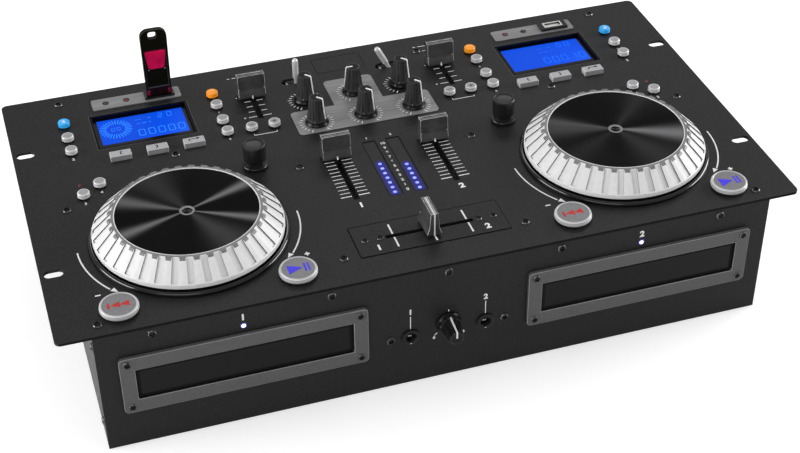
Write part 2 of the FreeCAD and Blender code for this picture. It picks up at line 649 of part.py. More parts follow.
def jog_wheel(deck, side):
    """Wheel with a band at its foot, flat lands and finger grips up its slope, a sunk disc.

    The blank is turned a little too large, and one cut per land squares its band and slope.
    """
    disc_top, blank = "(jog_height - jog_disc_sink)", "(jog_radius + jog_blank)"
    body = lathe(f"JogWheel{deck}", [
        ("0", "-jog_shaft_drop"), ("jog_shaft_radius", "-jog_shaft_drop"),
        ("jog_shaft_radius", "jog_band_low"), (blank, "jog_band_low"),
        (blank, "jog_height"), ("jog_disc_radius", "jog_height"),
        ("jog_disc_radius", disc_top), ("jog_dimple_radius", disc_top),
        ("jog_dimple_radius", f"{disc_top} - jog_dimple_depth"),
        ("0", f"{disc_top} - jog_dimple_depth")])
    land = outline(sketch(body, f"land_section_{deck}", "XZ_Plane"), [
        jog_slope("0", "0"), ("jog_radius", "jog_band_low - jog_blank"),
        (f"{blank} + jog_blank", "jog_band_low - jog_blank"),
        (f"{blank} + jog_blank", "jog_height + jog_blank"),
        ("jog_rim_radius", "jog_height + jog_blank"), ("jog_rim_radius", "jog_height")])
    slope = pocket(body, f"land_{deck}", land, "2 * jog_radius * tan(200 / grip_count)")
    slope.Midplane = True
    grip = outline(sketch(body, f"grip_section_{deck}", "XZ_Plane"), [
        jog_slope("grip_low", "-grip_sink"), jog_slope("grip_low", "grip_sink"),
        jog_slope("(1 + grip_run_out)", "grip_sink"),
        jog_slope("(1 + grip_run_out)", "-grip_sink")])
    groove = pocket(body, f"grip_{deck}", grip, "grip_width")
    groove.Midplane = True
    ring = body.newObject("PartDesign::PolarPattern", f"grips_{deck}")
    ring.Originals = [slope, groove]
    ring.Axis = (origin_plane(body, "Z_Axis"), [""])
    ring.Angle = 360
    drive(ring, Occurrences="grip_count")
    body.Tip = ring
    return on_panel(body, f"{side} * jog_x", "jog_y")


# --------------------------------------------------------------------------------------
# Buttons, keys and knobs
# --------------------------------------------------------------------------------------
def many_sided(name, radius, sides, low, high):
    """An upright prism with enough flats to look round between two heights."""
    item = drive(doc.addObject("Part::Prism", name), Circumradius=radius, Polygon=sides,
                 Height=f"{high} - ({low})")
    return place(item, z=low)


def capped_stem(name, cap, stem, x, y):
    """A cap that stands clear of the panel on a square stem by its own travel."""
    post = block(f"{name}Stem", f"-{stem} / 2", f"-{stem} / 2", "-button_reach", stem, stem,
                 "button_reach + button_lift + button_root")
    return on_panel(union(name, [cap, post]), x, y)


def push_button(name, x, y):
    """Small round button."""
    cap = many_sided(f"{name}Cap", "button_radius", "button_sides", "button_lift",
                     "button_height")
    return capped_stem(name, cap, "button_stem", x, y)


def loop_key(name, x):
    """Rectangular key with a chamfered top."""
    body = doc.addObject("PartDesign::Body", name)
    foot = rectangle(sketch(body, f"{name}_outline", offset="-button_reach"), "0", "0",
                     "key_width", "key_depth")
    pad(body, f"{name}_cap", foot, "button_reach + key_height")
    return on_panel(body, x, "key_y")


def transport_button(name, x):
    """Large round start or cue button."""
    cap = many_sided(f"{name}Cap", "transport_radius", "transport_sides", "button_lift",
                     "transport_height")
    return capped_stem(name, cap, "transport_stem", x, "transport_y")


def selector(deck, side):
    """Turn-and-push knob: a flange, a waist and a grip with a sunk top."""
    name = f"Selector{deck}"
    rounds = [
        many_sided(f"{name}Grip", "selector_radius", "selector_sides", "selector_grip_low",
                   "selector_height"),
        many_sided(f"{name}Waist", "selector_waist_radius", "selector_sides",
                   "selector_lift", "selector_grip_low + button_root"),
        many_sided(f"{name}Flange", "selector_flange_radius", "selector_sides",
                   "selector_lift", "selector_flange_top")]
    sink = many_sided(f"{name}Sink", "selector_dish_radius", "selector_sides",
                      "selector_height - selector_dish", "2 * selector_height")
    spindle = many_sided(f"{name}Spindle", "spindle_radius", "spindle_sides",
                         "-spindle_reach", "selector_lift + button_root")
    return on_panel(cut(name, union(f"{name}Solid", [*rounds, spindle]), [sink]),
                    f"{side} * selector_x", "selector_y")


def ribbed(name, radius, low, high):
    """Three hexagonal prisms turned against each other, which make eighteen ribs."""
    grips = []
    for turn in (0, 20, 40):
        grip = many_sided(f"{name}Ribs{turn}", radius, "spindle_sides", low, high)
        grip.Placement = Placement(Vector(), Rotation(Vector(0, 0, 1), turn))
        grips.append(grip)
    return grips


def knob(name, height):
    """Rotary knob: a round skirt and a ribbed grip on a spindle."""
    pieces = [
        many_sided(f"{name}Skirt", "knob_skirt_radius", "skirt_sides", "knob_lift",
                   "knob_skirt_top"),
        many_sided(f"{name}Spindle", "spindle_radius", "spindle_sides", "-spindle_reach",
                   "knob_skirt_top"),
        *ribbed(f"{name}Grip", "knob_radius", "knob_lift", height)]
    return union(name, pieces)


# --------------------------------------------------------------------------------------
# Faders and toggle switches
# --------------------------------------------------------------------------------------
def fader_cap(name, lift):
    """Cap with a spread foot, hollowed sides and a finger groove, on a flat stem."""
    body = doc.addObject("PartDesign::Body", name)
    foot, top = "fader_cap_foot / 2", "fader_cap_top / 2"
    waist = "(fader_cap_top / 2 + fader_cap_flare)"
    side = [(foot, lift), (foot, "fader_cap_foot_height"), (waist, "fader_cap_waist_height"),
            (top, "fader_cap_height"), ("fader_groove", "fader_cap_height")]
    mirrored = [(f"-({y})", z) for y, z in reversed(side)]
    section = outline(sketch(body, f"{name}_section", "YZ_Plane"),
                      side + [("0", "fader_cap_height - fader_groove")] + mirrored)
    cap = pad(body, f"{name}_cap", section, "fader_cap_width")
    cap.Midplane = True
    stem = rectangle(sketch(body, f"{name}_stem", offset="-fader_stem_reach"), "0", "0",
                     "fader_stem_thick", "fader_stem_width")
    pad(body, f"{name}_blade", stem, "fader_stem_reach + fader_cap_foot_height")
    return body


def fader_unit(name, x, y, length, along_x=False):
    """Trough under a panel slot in which a fader's stem runs."""
    across = "fader_unit_width"
    size_x, size_y = (length, across) if along_x else (across, length)
    base_y = f"{y} - case_depth / 2"
    outer = block(f"{name}Outer", f"{x} - ({size_x}) / 2", f"{base_y} - ({size_y}) / 2",
                  "case_height - fader_unit_height", size_x, size_y, "fader_unit_height")
    inner = block(f"{name}Inner", f"{x} - ({size_x}) / 2 + fader_unit_wall",
                  f"{base_y} - ({size_y}) / 2 + fader_unit_wall",
                  "case_height - fader_unit_height + fader_unit_wall",
                  f"{size_x} - 2 * fader_unit_wall", f"{size_y} - 2 * fader_unit_wall",
                  "fader_unit_height")
    return cut(name, outer, [inner])


def toggle(deck, side, lean):
    """Bat lever: a slim arm with a thicker round tip, pivoting under its slot."""
    name = f"Toggle{deck}"
    arm = many_sided(f"{name}Arm", "toggle_arm_radius", "toggle_sides", "-toggle_tail",
                     "toggle_length")
    neck = many_sided(f"{name}Neck", "toggle_neck_radius", "toggle_sides",
                      "toggle_neck_low", "toggle_length")
    tip = many_sided(f"{name}Tip", "toggle_tip_radius", "toggle_sides", "toggle_tip_low",
                     "toggle_length")
    pin_length = "toggle_housing_depth - 2 * fader_unit_wall - 2 * running_gap"
    pin = block(f"{name}Pin", "-toggle_pin_side / 2", f"-({pin_length}) / 2",
                "-toggle_pin_side / 2", "toggle_pin_side", pin_length, "toggle_pin_side")
    return place(union(name, [arm, neck, tip, pin]), f"{side} * toggle_x",
                 "toggle_y - case_depth / 2",
                 "case_height + panel_thick - toggle_pivot_drop",
                 Rotation(Vector(0, 1, 0), lean))


def toggle_housing(deck, side):
    """Open-topped switch housing under the slot."""
    inside = "toggle_housing_width - 2 * fader_unit_wall"
    outer = block(f"ToggleBox{deck}", f"{side} * toggle_x - toggle_housing_width / 2",
                  "toggle_y - toggle_housing_depth / 2 - case_depth / 2",
                  "case_height - toggle_housing_height", "toggle_housing_width",
                  "toggle_housing_depth", "toggle_housing_height")
    inner = block(f"ToggleBoxInner{deck}", f"{side} * toggle_x - ({inside}) / 2",
                  "toggle_y - toggle_housing_depth / 2 - case_depth / 2 + fader_unit_wall",
                  "case_height - toggle_housing_height + fader_unit_wall", inside,
                  "toggle_housing_depth - 2 * fader_unit_wall", "toggle_housing_height")
    return cut(f"ToggleHousing{deck}", outer, [inner])


# --------------------------------------------------------------------------------------
# Disc trays, bezels and loaders
# --------------------------------------------------------------------------------------
def tray_bezel(deck, side):
    """Frame with round corners on the front face."""
    body = doc.addObject("PartDesign::Body", f"Bezel{deck}")
    shape = rounded(sketch(body, f"bezel_outline_{deck}", "XZ_Plane"), "0", "0",
                    "bezel_width", "bezel_height", "bezel_corner")
    rectangle(shape, "0", "0", "bezel_mouth_width", "bezel_mouth_height")
    pad(body, f"bezel_frame_{deck}", shape, "bezel_thick")
    return on_front(body, f"{side} * tray_x", "tray_z")


def disc_tray(deck, side):
    """Sliding tray with a disc well, an opening over the drive, and a glossy door."""
    body = doc.addObject("PartDesign::Body", f"DiscTray{deck}")
    back_of_door = "(door_thick - bezel_thick + door_sink)"
    door = rectangle(sketch(body, f"door_outline_{deck}", "XZ_Plane",
                            "bezel_thick - door_sink"), "0", "0",
                     "bezel_mouth_width - 2 * door_gap", "bezel_mouth_height - 2 * door_gap")
    pad(body, f"door_{deck}", door, "door_thick", reverse=True)
    plate = rectangle(
        sketch(body, f"tray_outline_{deck}", offset="-tray_drop - tray_thick"), "0",
        f"{back_of_door} + tray_length / 2 - door_overlap / 2", "tray_width",
        "tray_length + door_overlap")
    pad(body, f"tray_plate_{deck}", plate, "tray_thick")
    well_y = f"({back_of_door} + tray_width / 2 + tray_well_margin)"
    well = circle(sketch(body, f"well_outline_{deck}", offset="-tray_drop"), "0", well_y,
                  "disc_well_radius")
    pocket(body, f"disc_well_{deck}", well, "disc_well_depth")
    window_cut = rectangle(
        sketch(body, f"drive_window_{deck}", offset="-tray_drop"), "0",
        f"({well_y} + {back_of_door} + tray_length) / 2 - tray_window_front / 2",
        "tray_window_width", f"{back_of_door} + tray_length - {well_y} + tray_window_front"
        " - 2 * tray_window_rear")
    pocket(body, f"drive_window_cut_{deck}", window_cut, "tray_thick")
    return on_front(body, f"{side} * tray_x", "tray_z")


def disc_loader(deck, side):
    """Drive frame on four legs: a floor, two walls, tray rails and a bridge."""
    centre, front = f"{side} * tray_x", "loader_front - case_depth / 2"
    left = f"{centre} - loader_width / 2"
    rail_top = "tray_z - tray_drop - tray_thick - running_gap"
    pieces = [block(f"LoaderFloor{deck}", left, front, "loader_floor", "loader_width",
                    "loader_length", "loader_wall")]
    for end in (-1, 1):
        wall_x = f"{centre} + ({end}) * (loader_width - loader_wall) / 2 - loader_wall / 2"
        pieces.append(block(f"LoaderWall{deck}{end}", wall_x, front, "loader_floor",
                            "loader_wall", "loader_length", "loader_height"))
        rail_x = f"{centre} + ({end}) * (tray_width - loader_rail) / 2 - loader_rail / 2"
        pieces.append(block(f"LoaderRail{deck}{end}", rail_x, front, "loader_floor",
                            "loader_rail", "tray_length", f"{rail_top} - loader_floor"))
        for depth in (0, 1):
            pieces.append(block(
                f"LoaderLeg{deck}{end}{depth}",
                f"{centre} + ({end}) * (loader_width - loader_leg) / 2 - loader_leg / 2",
                f"{front} + {depth} * (loader_length - loader_leg)", "wall", "loader_leg",
                "loader_leg", "loader_floor - wall + loader_wall"))
    pieces.append(block(f"LoaderBridge{deck}", left, f"{front} + loader_bridge_y",
                        "loader_floor + loader_height - loader_wall", "loader_width",
                        "loader_bridge_depth", "loader_wall"))
    return union(f"Loader{deck}", pieces)


# --------------------------------------------------------------------------------------
# Front sockets, boards, power supply and rear connectors
# --------------------------------------------------------------------------------------
def front_sockets():
    """Board behind the front panel with two jack sockets and the body of a control."""
    front = "-case_depth / 2"
    pieces = [block("JackBoard", "-jack_board_width / 2", f"{front} + jack_board_y",
                    "jack_z - jack_board_height / 2", "jack_board_width", "board_thick",
                    "jack_board_height"),
              block("FrontPot", "-pot_width / 2",
                    f"{front} + spindle_reach + running_gap",
                    "front_knob_z - pot_width / 2", "pot_width",
                    "jack_board_y - spindle_reach - running_gap", "pot_width")]
    bores = []
    for deck, side in DECKS:
        x = f"{side} * jack_x"
        pieces.append(block(f"JackBody{deck}", f"{x} - jack_body_width / 2",
                            f"{front} + front_thick", "jack_z - jack_body_width / 2",
                            "jack_body_width", "jack_body_length", "jack_body_width"))
        pieces.append(place(
            many_sided(f"JackNut{deck}", "jack_nut_radius", "jack_nut_sides", "0",
                       "jack_nut_proud + front_thick"),
            x, f"{front} - jack_nut_proud", "jack_z", FACE_BACK))
        bores.append(rod(f"JackBore{deck}", x, f"{front} - jack_nut_proud", "jack_z",
                         "jack_bore_radius", "jack_bore_depth", FACE_BACK))
    return cut("FrontSockets", union("JackSet", pieces), bores)


def control_board():
    """Circuit board hung from the panel on posts, with a body under each knob."""
    board_top = "case_height - board_drop + board_thick"
    pieces = [block("Board", "-board_width / 2", "board_front_y - case_depth / 2",
                    "case_height - board_drop", "board_width",
                    "board_back_y - board_front_y", "board_thick")]
    spots = dict(KNOBS)
    spots.update({f"select{deck}": (f"{side} * selector_x", "selector_y")
                  for deck, side in DECKS})
    for label, (x, y) in spots.items():
        pieces.append(block(
            f"Pot_{label}", f"{x} - pot_width / 2", f"{y} - pot_width / 2 - case_depth / 2",
            board_top, "pot_width", "pot_width",
            f"case_height + panel_thick - spindle_reach - running_gap - ({board_top})"))
    for index, (x, y) in enumerate(POSTS):
        pieces.append(block(
            f"Post{index}", f"{x} - post_width / 2", f"{y} - post_width / 2 - case_depth / 2",
            board_top, "post_width", "post_width", "board_drop - board_thick"))
    return union("ControlBoard", pieces)


def power_supply():
    """Small board on posts with a transformer."""
    front = "supply_y - supply_depth / 2 - case_depth / 2"
    pieces = [block("SupplyBoard", "-supply_width / 2", front, "wall + supply_rise",
                    "supply_width", "supply_depth", "board_thick"),
              block("Transformer", "-transformer_width / 2", f"{front} + supply_margin",
                    "wall + supply_rise", "transformer_width",
                    "supply_depth - 2 * supply_margin", "transformer_height")]
    for end in (-1, 1):
        for depth in (0, 1):
            pieces.append(block(
                f"SupplyPost{end}{depth}",
                f"({end}) * (supply_width - post_width) / 2 - post_width / 2",
                f"{front} + {depth} * (supply_depth - post_width)", "wall", "post_width",
                "post_width", "supply_rise + board_thick"))
    return union("PowerSupply", pieces)


def rear_connectors():
    """Mains inlet, switch frame and two pairs of phono sockets in the back wall."""
    rear = "case_depth / 2"
    inlet = cut("Inlet", union("InletBody", [
        block("InletFlange", "inlet_x - inlet_flange_width / 2", rear,
              "rear_z - inlet_flange_height / 2", "inlet_flange_width",
              "inlet_flange_thick", "inlet_flange_height"),
        block("InletBox", "inlet_x - inlet_width / 2 + seat_gap", f"{rear} - inlet_depth",
              "rear_z - inlet_height / 2 + seat_gap", "inlet_width - 2 * seat_gap",
              "inlet_depth", "inlet_height - 2 * seat_gap")]), [
        block("InletMouth", "inlet_x - inlet_mouth_width / 2",
              f"{rear} + inlet_flange_thick - inlet_mouth_depth",
              "rear_z - inlet_mouth_height / 2", "inlet_mouth_width", "inlet_mouth_depth",
              "inlet_mouth_height")])
    frame = cut("SwitchFrame", block(
        "SwitchFrameBox", "switch_x - switch_width / 2 + seat_gap", f"{rear} - switch_depth",
        "rear_z - switch_height / 2 + seat_gap", "switch_width - 2 * seat_gap",
        "switch_depth + switch_proud", "switch_height - 2 * seat_gap"), [
        block("SwitchMouth", "switch_x - switch_width / 2 + switch_lip",
              f"{rear} - switch_depth + switch_lip", "rear_z - switch_height / 2 + switch_lip",
              "switch_width - 2 * switch_lip", "switch_depth + switch_proud",
              "switch_height - 2 * switch_lip")])
    sockets = []
    for index in range(PHONO_SOCKETS):
        x = f"phono_first_x + {index} * phono_pitch"
        sockets.append(union(f"PhonoSocket{index}", [
            block(f"PhonoBlock{index}", f"{x} - phono_block / 2", rear,
                  "rear_z - phono_block / 2", "phono_block", "inlet_flange_thick",
                  "phono_block"),
            block(f"PhonoBody{index}", f"{x} - phono_body / 2", f"{rear} - inlet_depth",
                  "rear_z - phono_body / 2", "phono_body", "inlet_depth", "phono_body"),
            rod(f"PhonoShell{index}", x, rear, "rear_z", "phono_radius", "phono_length",
                FACE_BACK)]))
    return group("RearConnectors", [inlet, frame, *sockets])


def power_switch():
    """Rocker that tilts on a cross pin inside its frame."""
    body = doc.addObject("PartDesign::Body", "PowerSwitch")
    high, half = "rocker_height / 2", "rocker_depth"
    section = outline(sketch(body, "rocker_section", "YZ_Plane"), [
        (f"-{half} / 2", "0"), ("0", f"-{high} / 2"), (half, f"-{high}"),
        (f"{half} - rocker_dip", "0"), (half, high), ("0", f"{high} / 2")])
    rocker = pad(body, "rocker", section, "rocker_width")
    rocker.Midplane = True
    return place(body, "switch_x", "case_depth / 2", "rear_z",
                 Rotation(Vector(1, 0, 0), SIZES["rocker_lean"]))


def usb_stick():
    """Memory stick with a plug, a rounded head with an eye, and a sunk slider window."""
    body = doc.addObject("PartDesign::Body", "UsbStick")
    low = "usb_proud + running_gap"
    high = f"{low} + stick_height"
    half, corner = "stick_width / 2", "stick_corner"
    shape = outline(sketch(body, "stick_outline", "XZ_Plane"), [
        (f"-{half}", low), (half, low), (half, f"{high} - {corner}"),
        (f"{half} - {corner} / 3", f"{high} - {corner} / 3"),
        (f"{half} - {corner}", high), (f"-{half} + {corner}", high),
        (f"-{half} + {corner} / 3", f"{high} - {corner} / 3"),
        (f"-{half}", f"{high} - {corner}")])
    rectangle(shape, "0", f"{high} - stick_eye_drop", "stick_eye_width", "stick_eye_height")
    pad(body, "stick_body", shape, "stick_thick").Midplane = True
    track = rectangle(sketch(body, "stick_track", "XZ_Plane", "stick_thick / 2"), "0",
                      f"{low} + stick_window_low + stick_window_height / 2",
                      "stick_window_width", "stick_window_height")
    pocket(body, "stick_track_cut", track, "stick_window_sink")
    slider = rectangle(sketch(body, "stick_slider", "XZ_Plane",
                              "stick_thick / 2 - stick_window_sink"), "0",
                       f"{low} + stick_slider_low", "stick_window_width",
                       "stick_slider_height")
    pad(body, "stick_slider_pad", slider, "stick_window_sink")
    plug = rectangle(sketch(body, "stick_plug", offset=f"{low} - stick_plug_length"), "0",
                     "0", "stick_plug_width", "stick_plug_thick")
    pad(body, "stick_plug_shell", plug, "stick_plug_length")
    return on_panel(body, "-display_x + usb_shift", "usb_y")


# --------------------------------------------------------------------------------------
# Assembly
# --------------------------------------------------------------------------------------
finish(case_shell(), "case_shell")
finish(front_panel(), "front_panel")
finish(top_panel(), "top_panel")
for build, label in ((jog_base, "jog_bases"), (window, "display_windows"),
                     (lcd_module, "lcd_modules"), (label_strip, "label_strips"),
                     (usb_socket, "usb_sockets"), (tray_bezel, "tray_bezels"),
                     (disc_loader, "disc_loaders")):
    finish(group(f"Set_{label}", [build(deck, side) for deck, side in DECKS]), label)
finish(mixer_overlay(), "mixer_overlay")
finish(crossfader_plate(), "crossfader_plate")
finish(level_meter(), "level_meter")
finish(front_sockets(), "front_sockets")
finish(control_board(), "control_board")
finish(power_supply(), "power_supply")
finish(rear_connectors(), "rear_connectors")

units = [fader_unit("CrossUnit", "0", "cross_y", "cross_slot_length + slot_margin", True)]
for deck, side in DECKS:
    units.append(fader_unit(f"PitchUnit{deck}", f"{side} * pitch_x", "pitch_y",
                            "pitch_slot_length + slot_margin"))
    units.append(fader_unit(f"ChannelUnit{deck}", f"{side} * channel_x", "channel_slot_y",
                            "channel_slot_length + slot_margin"))
    units.append(toggle_housing(deck, side))
finish(group("FaderUnits", units), "fader_units")

for label, (left, right, y) in PUSH_BUTTONS.items():
    pair = [push_button(f"{label}_1", left, y), push_button(f"{label}_2", right, y)]
    finish(group(f"Pair_{label}", pair), label)
for label, step in KEYS.items():
    pair = [loop_key(f"{label}_{deck}", f"{side} * key_x + ({step}) * key_pitch")
            for deck, side in DECKS]
    finish(group(f"Pair_{label}", pair), label)
for label, (x, y) in KNOBS.items():
    finish(on_panel(knob(f"Body_{label}", "knob_height"), x, y), label)
finish(on_front(knob("Body_cue_knob", "front_knob_height"), "0", "front_knob_z",
                FACE_FRONT), "cue_knob")
for deck, side in DECKS:
    finish(jog_wheel(deck, side), f"jog_wheel_{deck}")
    finish(disc_tray(deck, side), f"disc_tray_{deck}")
    finish(selector(deck, side), f"selector_{deck}")
    for label, step in (("cue_button", -1), ("play_button", 1)):
        finish(transport_button(f"Body_{label}_{deck}",
                                f"{side} * jog_x + ({step}) * transport_offset"),
               f"{label}_{deck}")
    finish(on_panel(fader_cap(f"PitchCap{deck}", "fader_cap_low"), f"{side} * pitch_x",
                    "pitch_y"), f"pitch_fader_{deck}")
    finish(on_panel(fader_cap(f"ChannelCap{deck}", "fader_cap_low"), f"{side} * channel_x",
                    "channel_rest_y"), f"channel_fader_{deck}")
finish(on_panel(fader_cap("CrossCap", "overlay_thick + fader_cap_low"), "0", "cross_y",
                Rotation(Vector(0, 0, 1), 90)), "crossfader")
for (deck, side), lean in zip(DECKS, (0, -SIZES["toggle_lean"])):
    finish(toggle(deck, side, lean), f"toggle_{deck}")
finish(usb_stick(), "usb_stick")
finish(power_switch(), "power_switch")

doc.recompute()
for item in doc.Objects:
    if {"Invalid", "Error"} & set(item.State):
        raise RuntimeError(f"{item.Name} did not compute: {item.State}")
os.makedirs("parts", exist_ok=True)
for item in PARTS:
    if item.Shape.isNull() or not item.Shape.isValid():
        raise RuntimeError(f"{item.Label} has no sound shape")
    item.Shape.exportStep(f"parts/{item.Label}.step")
print(f"{len(PARTS)} sub-parts written")
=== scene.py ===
"""Looks of the two-deck disc console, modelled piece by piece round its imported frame.

Places are in millimetres. On the control panel they are X to the right, Y from the panel's
front edge and Z from its upper face. On the front they are X and the height above the floor.
"""

import logging
import math
from collections.abc import Callable, Iterable, Sequence
from dataclasses import dataclass, field
from enum import Enum

import bpy
from mathutils import Matrix, Vector


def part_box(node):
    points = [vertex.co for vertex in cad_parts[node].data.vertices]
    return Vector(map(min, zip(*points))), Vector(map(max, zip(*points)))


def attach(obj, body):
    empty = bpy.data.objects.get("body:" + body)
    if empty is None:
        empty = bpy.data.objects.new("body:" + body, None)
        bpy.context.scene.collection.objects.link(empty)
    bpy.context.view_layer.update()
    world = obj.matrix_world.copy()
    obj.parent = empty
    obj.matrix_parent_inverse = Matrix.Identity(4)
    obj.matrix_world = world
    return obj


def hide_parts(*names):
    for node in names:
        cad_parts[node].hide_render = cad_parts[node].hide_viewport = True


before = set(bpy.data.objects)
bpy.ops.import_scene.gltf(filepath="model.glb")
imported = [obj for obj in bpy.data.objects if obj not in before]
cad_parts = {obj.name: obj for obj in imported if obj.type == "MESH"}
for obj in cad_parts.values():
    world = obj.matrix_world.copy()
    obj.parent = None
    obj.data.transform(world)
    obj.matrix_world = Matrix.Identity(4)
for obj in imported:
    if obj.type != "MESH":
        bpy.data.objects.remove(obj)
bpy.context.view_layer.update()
LOG = logging.getLogger("disc_console")

Pair = tuple[float, float]
Triple = tuple[float, float, float]
Thing = bpy.types.Object

MM = 0.001
PANEL_TOP = 90.9
HALF_DEPTH = 131.0
HALF_WIDTH = 220.0
CONSOLE = "console"
INK_DEPTH = 0.06
MERGE = 0.000002
STEM_TOP = 1.05
DISPLAY_X, DISPLAY_Y = 150.3, 212.0
TRAY_X, TRAY_Z = 130.2, 49.3
LAMP_X = 130.3
CUE_Z = 44.1
METER_X = 8.5
WHITE = (1.0, 1.0, 1.0)


class Deck(Enum):
    """The left and the right deck, with the number and the side of each."""

    LEFT = ("1", -1)
    RIGHT = ("2", 1)

    @property
    def number(self) -> str:
        """The deck's number, as in its nodes' names."""
        return self.value[0]

    @property
    def side(self) -> int:
        """Minus one on the left and one on the right."""
        return self.value[1]


# ---- Places ----
def spread(scale: Triple) -> Matrix:
    """A matrix that stretches along the three axes."""
    return Matrix.Diagonal((*scale, 1.0))


def on_panel(x: float, y: float, z: float = 0.0, turn: float = 0.0) -> Matrix:
    """The place of something that stands on the control panel.

    Args:
        x: Distance to the right of the middle.
        y: Distance from the panel's front edge.
        z: Height above the panel.
        turn: Turn about the upright, in degrees.

    Returns:
        A matrix that carries a piece there from the origin.
    """
    spot = Vector((x, y - HALF_DEPTH, z + PANEL_TOP)) * MM
    return Matrix.Translation(spot) @ Matrix.Rotation(math.radians(turn), 4, "Z")


def on_front(x: float, z: float, out: float = 0.0, turn: float = 0.0) -> Matrix:
    """The place of something that stands out from the front face.

    Args:
        x: Distance to the right of the middle.
        z: Height above the floor.
        out: Distance in front of the face.
        turn: Turn about the outward direction, in degrees.

    Returns:
        A matrix that carries a piece there, its upright turned forwards.
    """
    spot = Vector((x, -HALF_DEPTH - out, z)) * MM
    forward = Matrix.Rotation(math.radians(90), 4, "X")
    return Matrix.Translation(spot) @ forward @ Matrix.Rotation(math.radians(turn), 4, "Z")


def on_rear(x: float, z: float, out: float = 0.0) -> Matrix:
    """The place of something that stands out from the back wall."""
    spot = Vector((x, HALF_DEPTH + out, z)) * MM
    return Matrix.Translation(spot) @ Matrix.Rotation(math.radians(-90), 4, "X")


def on_side(side: int, y: float, z: float) -> Matrix:
    """The place of something that stands out from a side wall."""
    spot = Vector((side * HALF_WIDTH, y - HALF_DEPTH, z)) * MM
    return Matrix.Translation(spot) @ Matrix.Rotation(math.radians(side * 90), 4, "Y")


# ---- Finishes ----
class NodeDesk:
    """One material and short moves for wiring its nodes."""

    def __init__(self, name: str) -> None:
        """Starts a material that has a shader and its surface's own coordinates.

        Args:
            name: The material's name.
        """
        self.material = bpy.data.materials.new(name)
        self.material.use_nodes = True
        self.tree = self.material.node_tree
        self.shader = self.tree.nodes["Principled BSDF"]
        self.place = self.add("ShaderNodeTexCoord").outputs["Object"]

    def add(self, kind: str, **settings: object) -> bpy.types.Node:
        """Adds a node and sets its properties.

        Args:
            kind: The node's type.
            settings: Its properties.

        Returns:
            The node.
        """
        node = self.tree.nodes.new(kind)
        for name, setting in settings.items():
            setattr(node, name, setting)
        return node

    def join(self, source: bpy.types.NodeSocket, target: bpy.types.NodeSocket) -> None:
        """Wires one socket to another."""
        self.tree.links.new(source, target)

    def maths(self, operation: str, first: object, second: object = None) -> object:
        """Adds one sum on sockets or numbers and returns its output.

        Args:
            operation: What is worked out.
            first: A socket or a number.
            second: Another, where two are taken.

        Returns:
            The output socket.
        """
        node = self.add("ShaderNodeMath", operation=operation)
        for socket, term in zip(node.inputs, (first, second)):
            if isinstance(term, (int, float)):
                socket.default_value = term
            elif term is not None:
                self.join(term, socket)
        return node.outputs[0]

    def mapped(self, centre: Triple = (0, 0, 0), scale: Triple = (1, 1, 1)) -> object:
        """The surface's coordinates about a centre in metres, stretched.

        Args:
            centre: The point that becomes the origin, in metres.
            scale: The stretch.

        Returns:
            The vector socket.
        """
        node = self.add("ShaderNodeMapping", vector_type="POINT")
        self.join(self.place, node.inputs["Vector"])
        node.inputs["Location"].default_value = [-c * s for c, s in zip(centre, scale)]
        node.inputs["Scale"].default_value = scale
        return node.outputs[0]

    def noise(self, scale: float, stretch: Triple = (1, 1, 1), detail: float = 3.0) -> object:
        """A noise pattern's value, so many times a metre.

        Args:
            scale: Patches to the metre.
            stretch: Stretch of the pattern.
            detail: Depth of the detail.

        Returns:
            The value socket.
        """
        node = self.add("ShaderNodeTexNoise")
        self.join(self.mapped(scale=stretch), node.inputs["Vector"])
        node.inputs["Scale"].default_value = scale
        node.inputs["Detail"].default_value = detail
        return node.outputs["Fac"]

    def ramp(self, fac: object, stops: Sequence[tuple[float, Triple]]) -> object:
        """A colour ramp over a value.

        Args:
            fac: The value.
            stops: Place and colour of each stop.

        Returns:
            The colour socket.
        """
        node = self.add("ShaderNodeValToRGB")
        self.join(fac, node.inputs["Fac"])
        elements = node.color_ramp.elements
        for index, (position, colour) in enumerate(stops):
            element = elements[index] if index < 2 else elements.new(position)
            element.position = position
            element.color = (*colour, 1.0)
        return node.outputs["Color"]

    def between(self, fac: object, low: float, high: float) -> object:
        """A value spread between two limits.

        Args:
            fac: A value from 0 to 1.
            low: What 0 becomes.
            high: What 1 becomes.

        Returns:
            The value socket.
        """
        node = self.add("ShaderNodeMapRange")
        self.join(fac, node.inputs["Value"])
        node.inputs["To Min"].default_value = low
        node.inputs["To Max"].default_value = high
        return node.outputs["Result"]

    def bump(self, height: object, depth: float, strength: float = 1.0) -> None:
        """Turns a height pattern into relief so many millimetres deep.

        Args:
            height: The pattern.
            depth: Its depth.
            strength: Share of it that shows.
        """
        node = self.add("ShaderNodeBump")
        node.inputs["Distance"].default_value = depth * MM
        node.inputs["Strength"].default_value = strength
        self.join(height, node.inputs["Height"])
        self.join(node.outputs["Normal"], self.shader.inputs["Normal"])

    def fix(self, **sockets: float | Triple) -> None:
        """Sets shader sockets, named in small letters with underscores.

        Args:
            sockets: The sockets' values.
        """
        for name, setting in sockets.items():
            socket = self.shader.inputs[SOCKETS[name]]
            is_colour = isinstance(setting, tuple) and len(setting) == 3
            socket.default_value = (*setting, 1.0) if is_colour else setting


SOCKETS = {
    "colour": "Base Color", "metallic": "Metallic", "roughness": "Roughness",
    "specular": "Specular IOR Level", "coat": "Coat Weight",
    "coat_roughness": "Coat Roughness", "glow": "Emission Color",
    "glow_strength": "Emission Strength", "anisotropy": "Anisotropic",
    "transmission": "Transmission Weight",
}
SHELF: dict[str, bpy.types.Material] = {}


def tinted(colour: Triple, share: float) -> Triple:
    """A colour made lighter or darker by a share."""
    return tuple(max(0.0, c * (1.0 + share)) for c in colour)


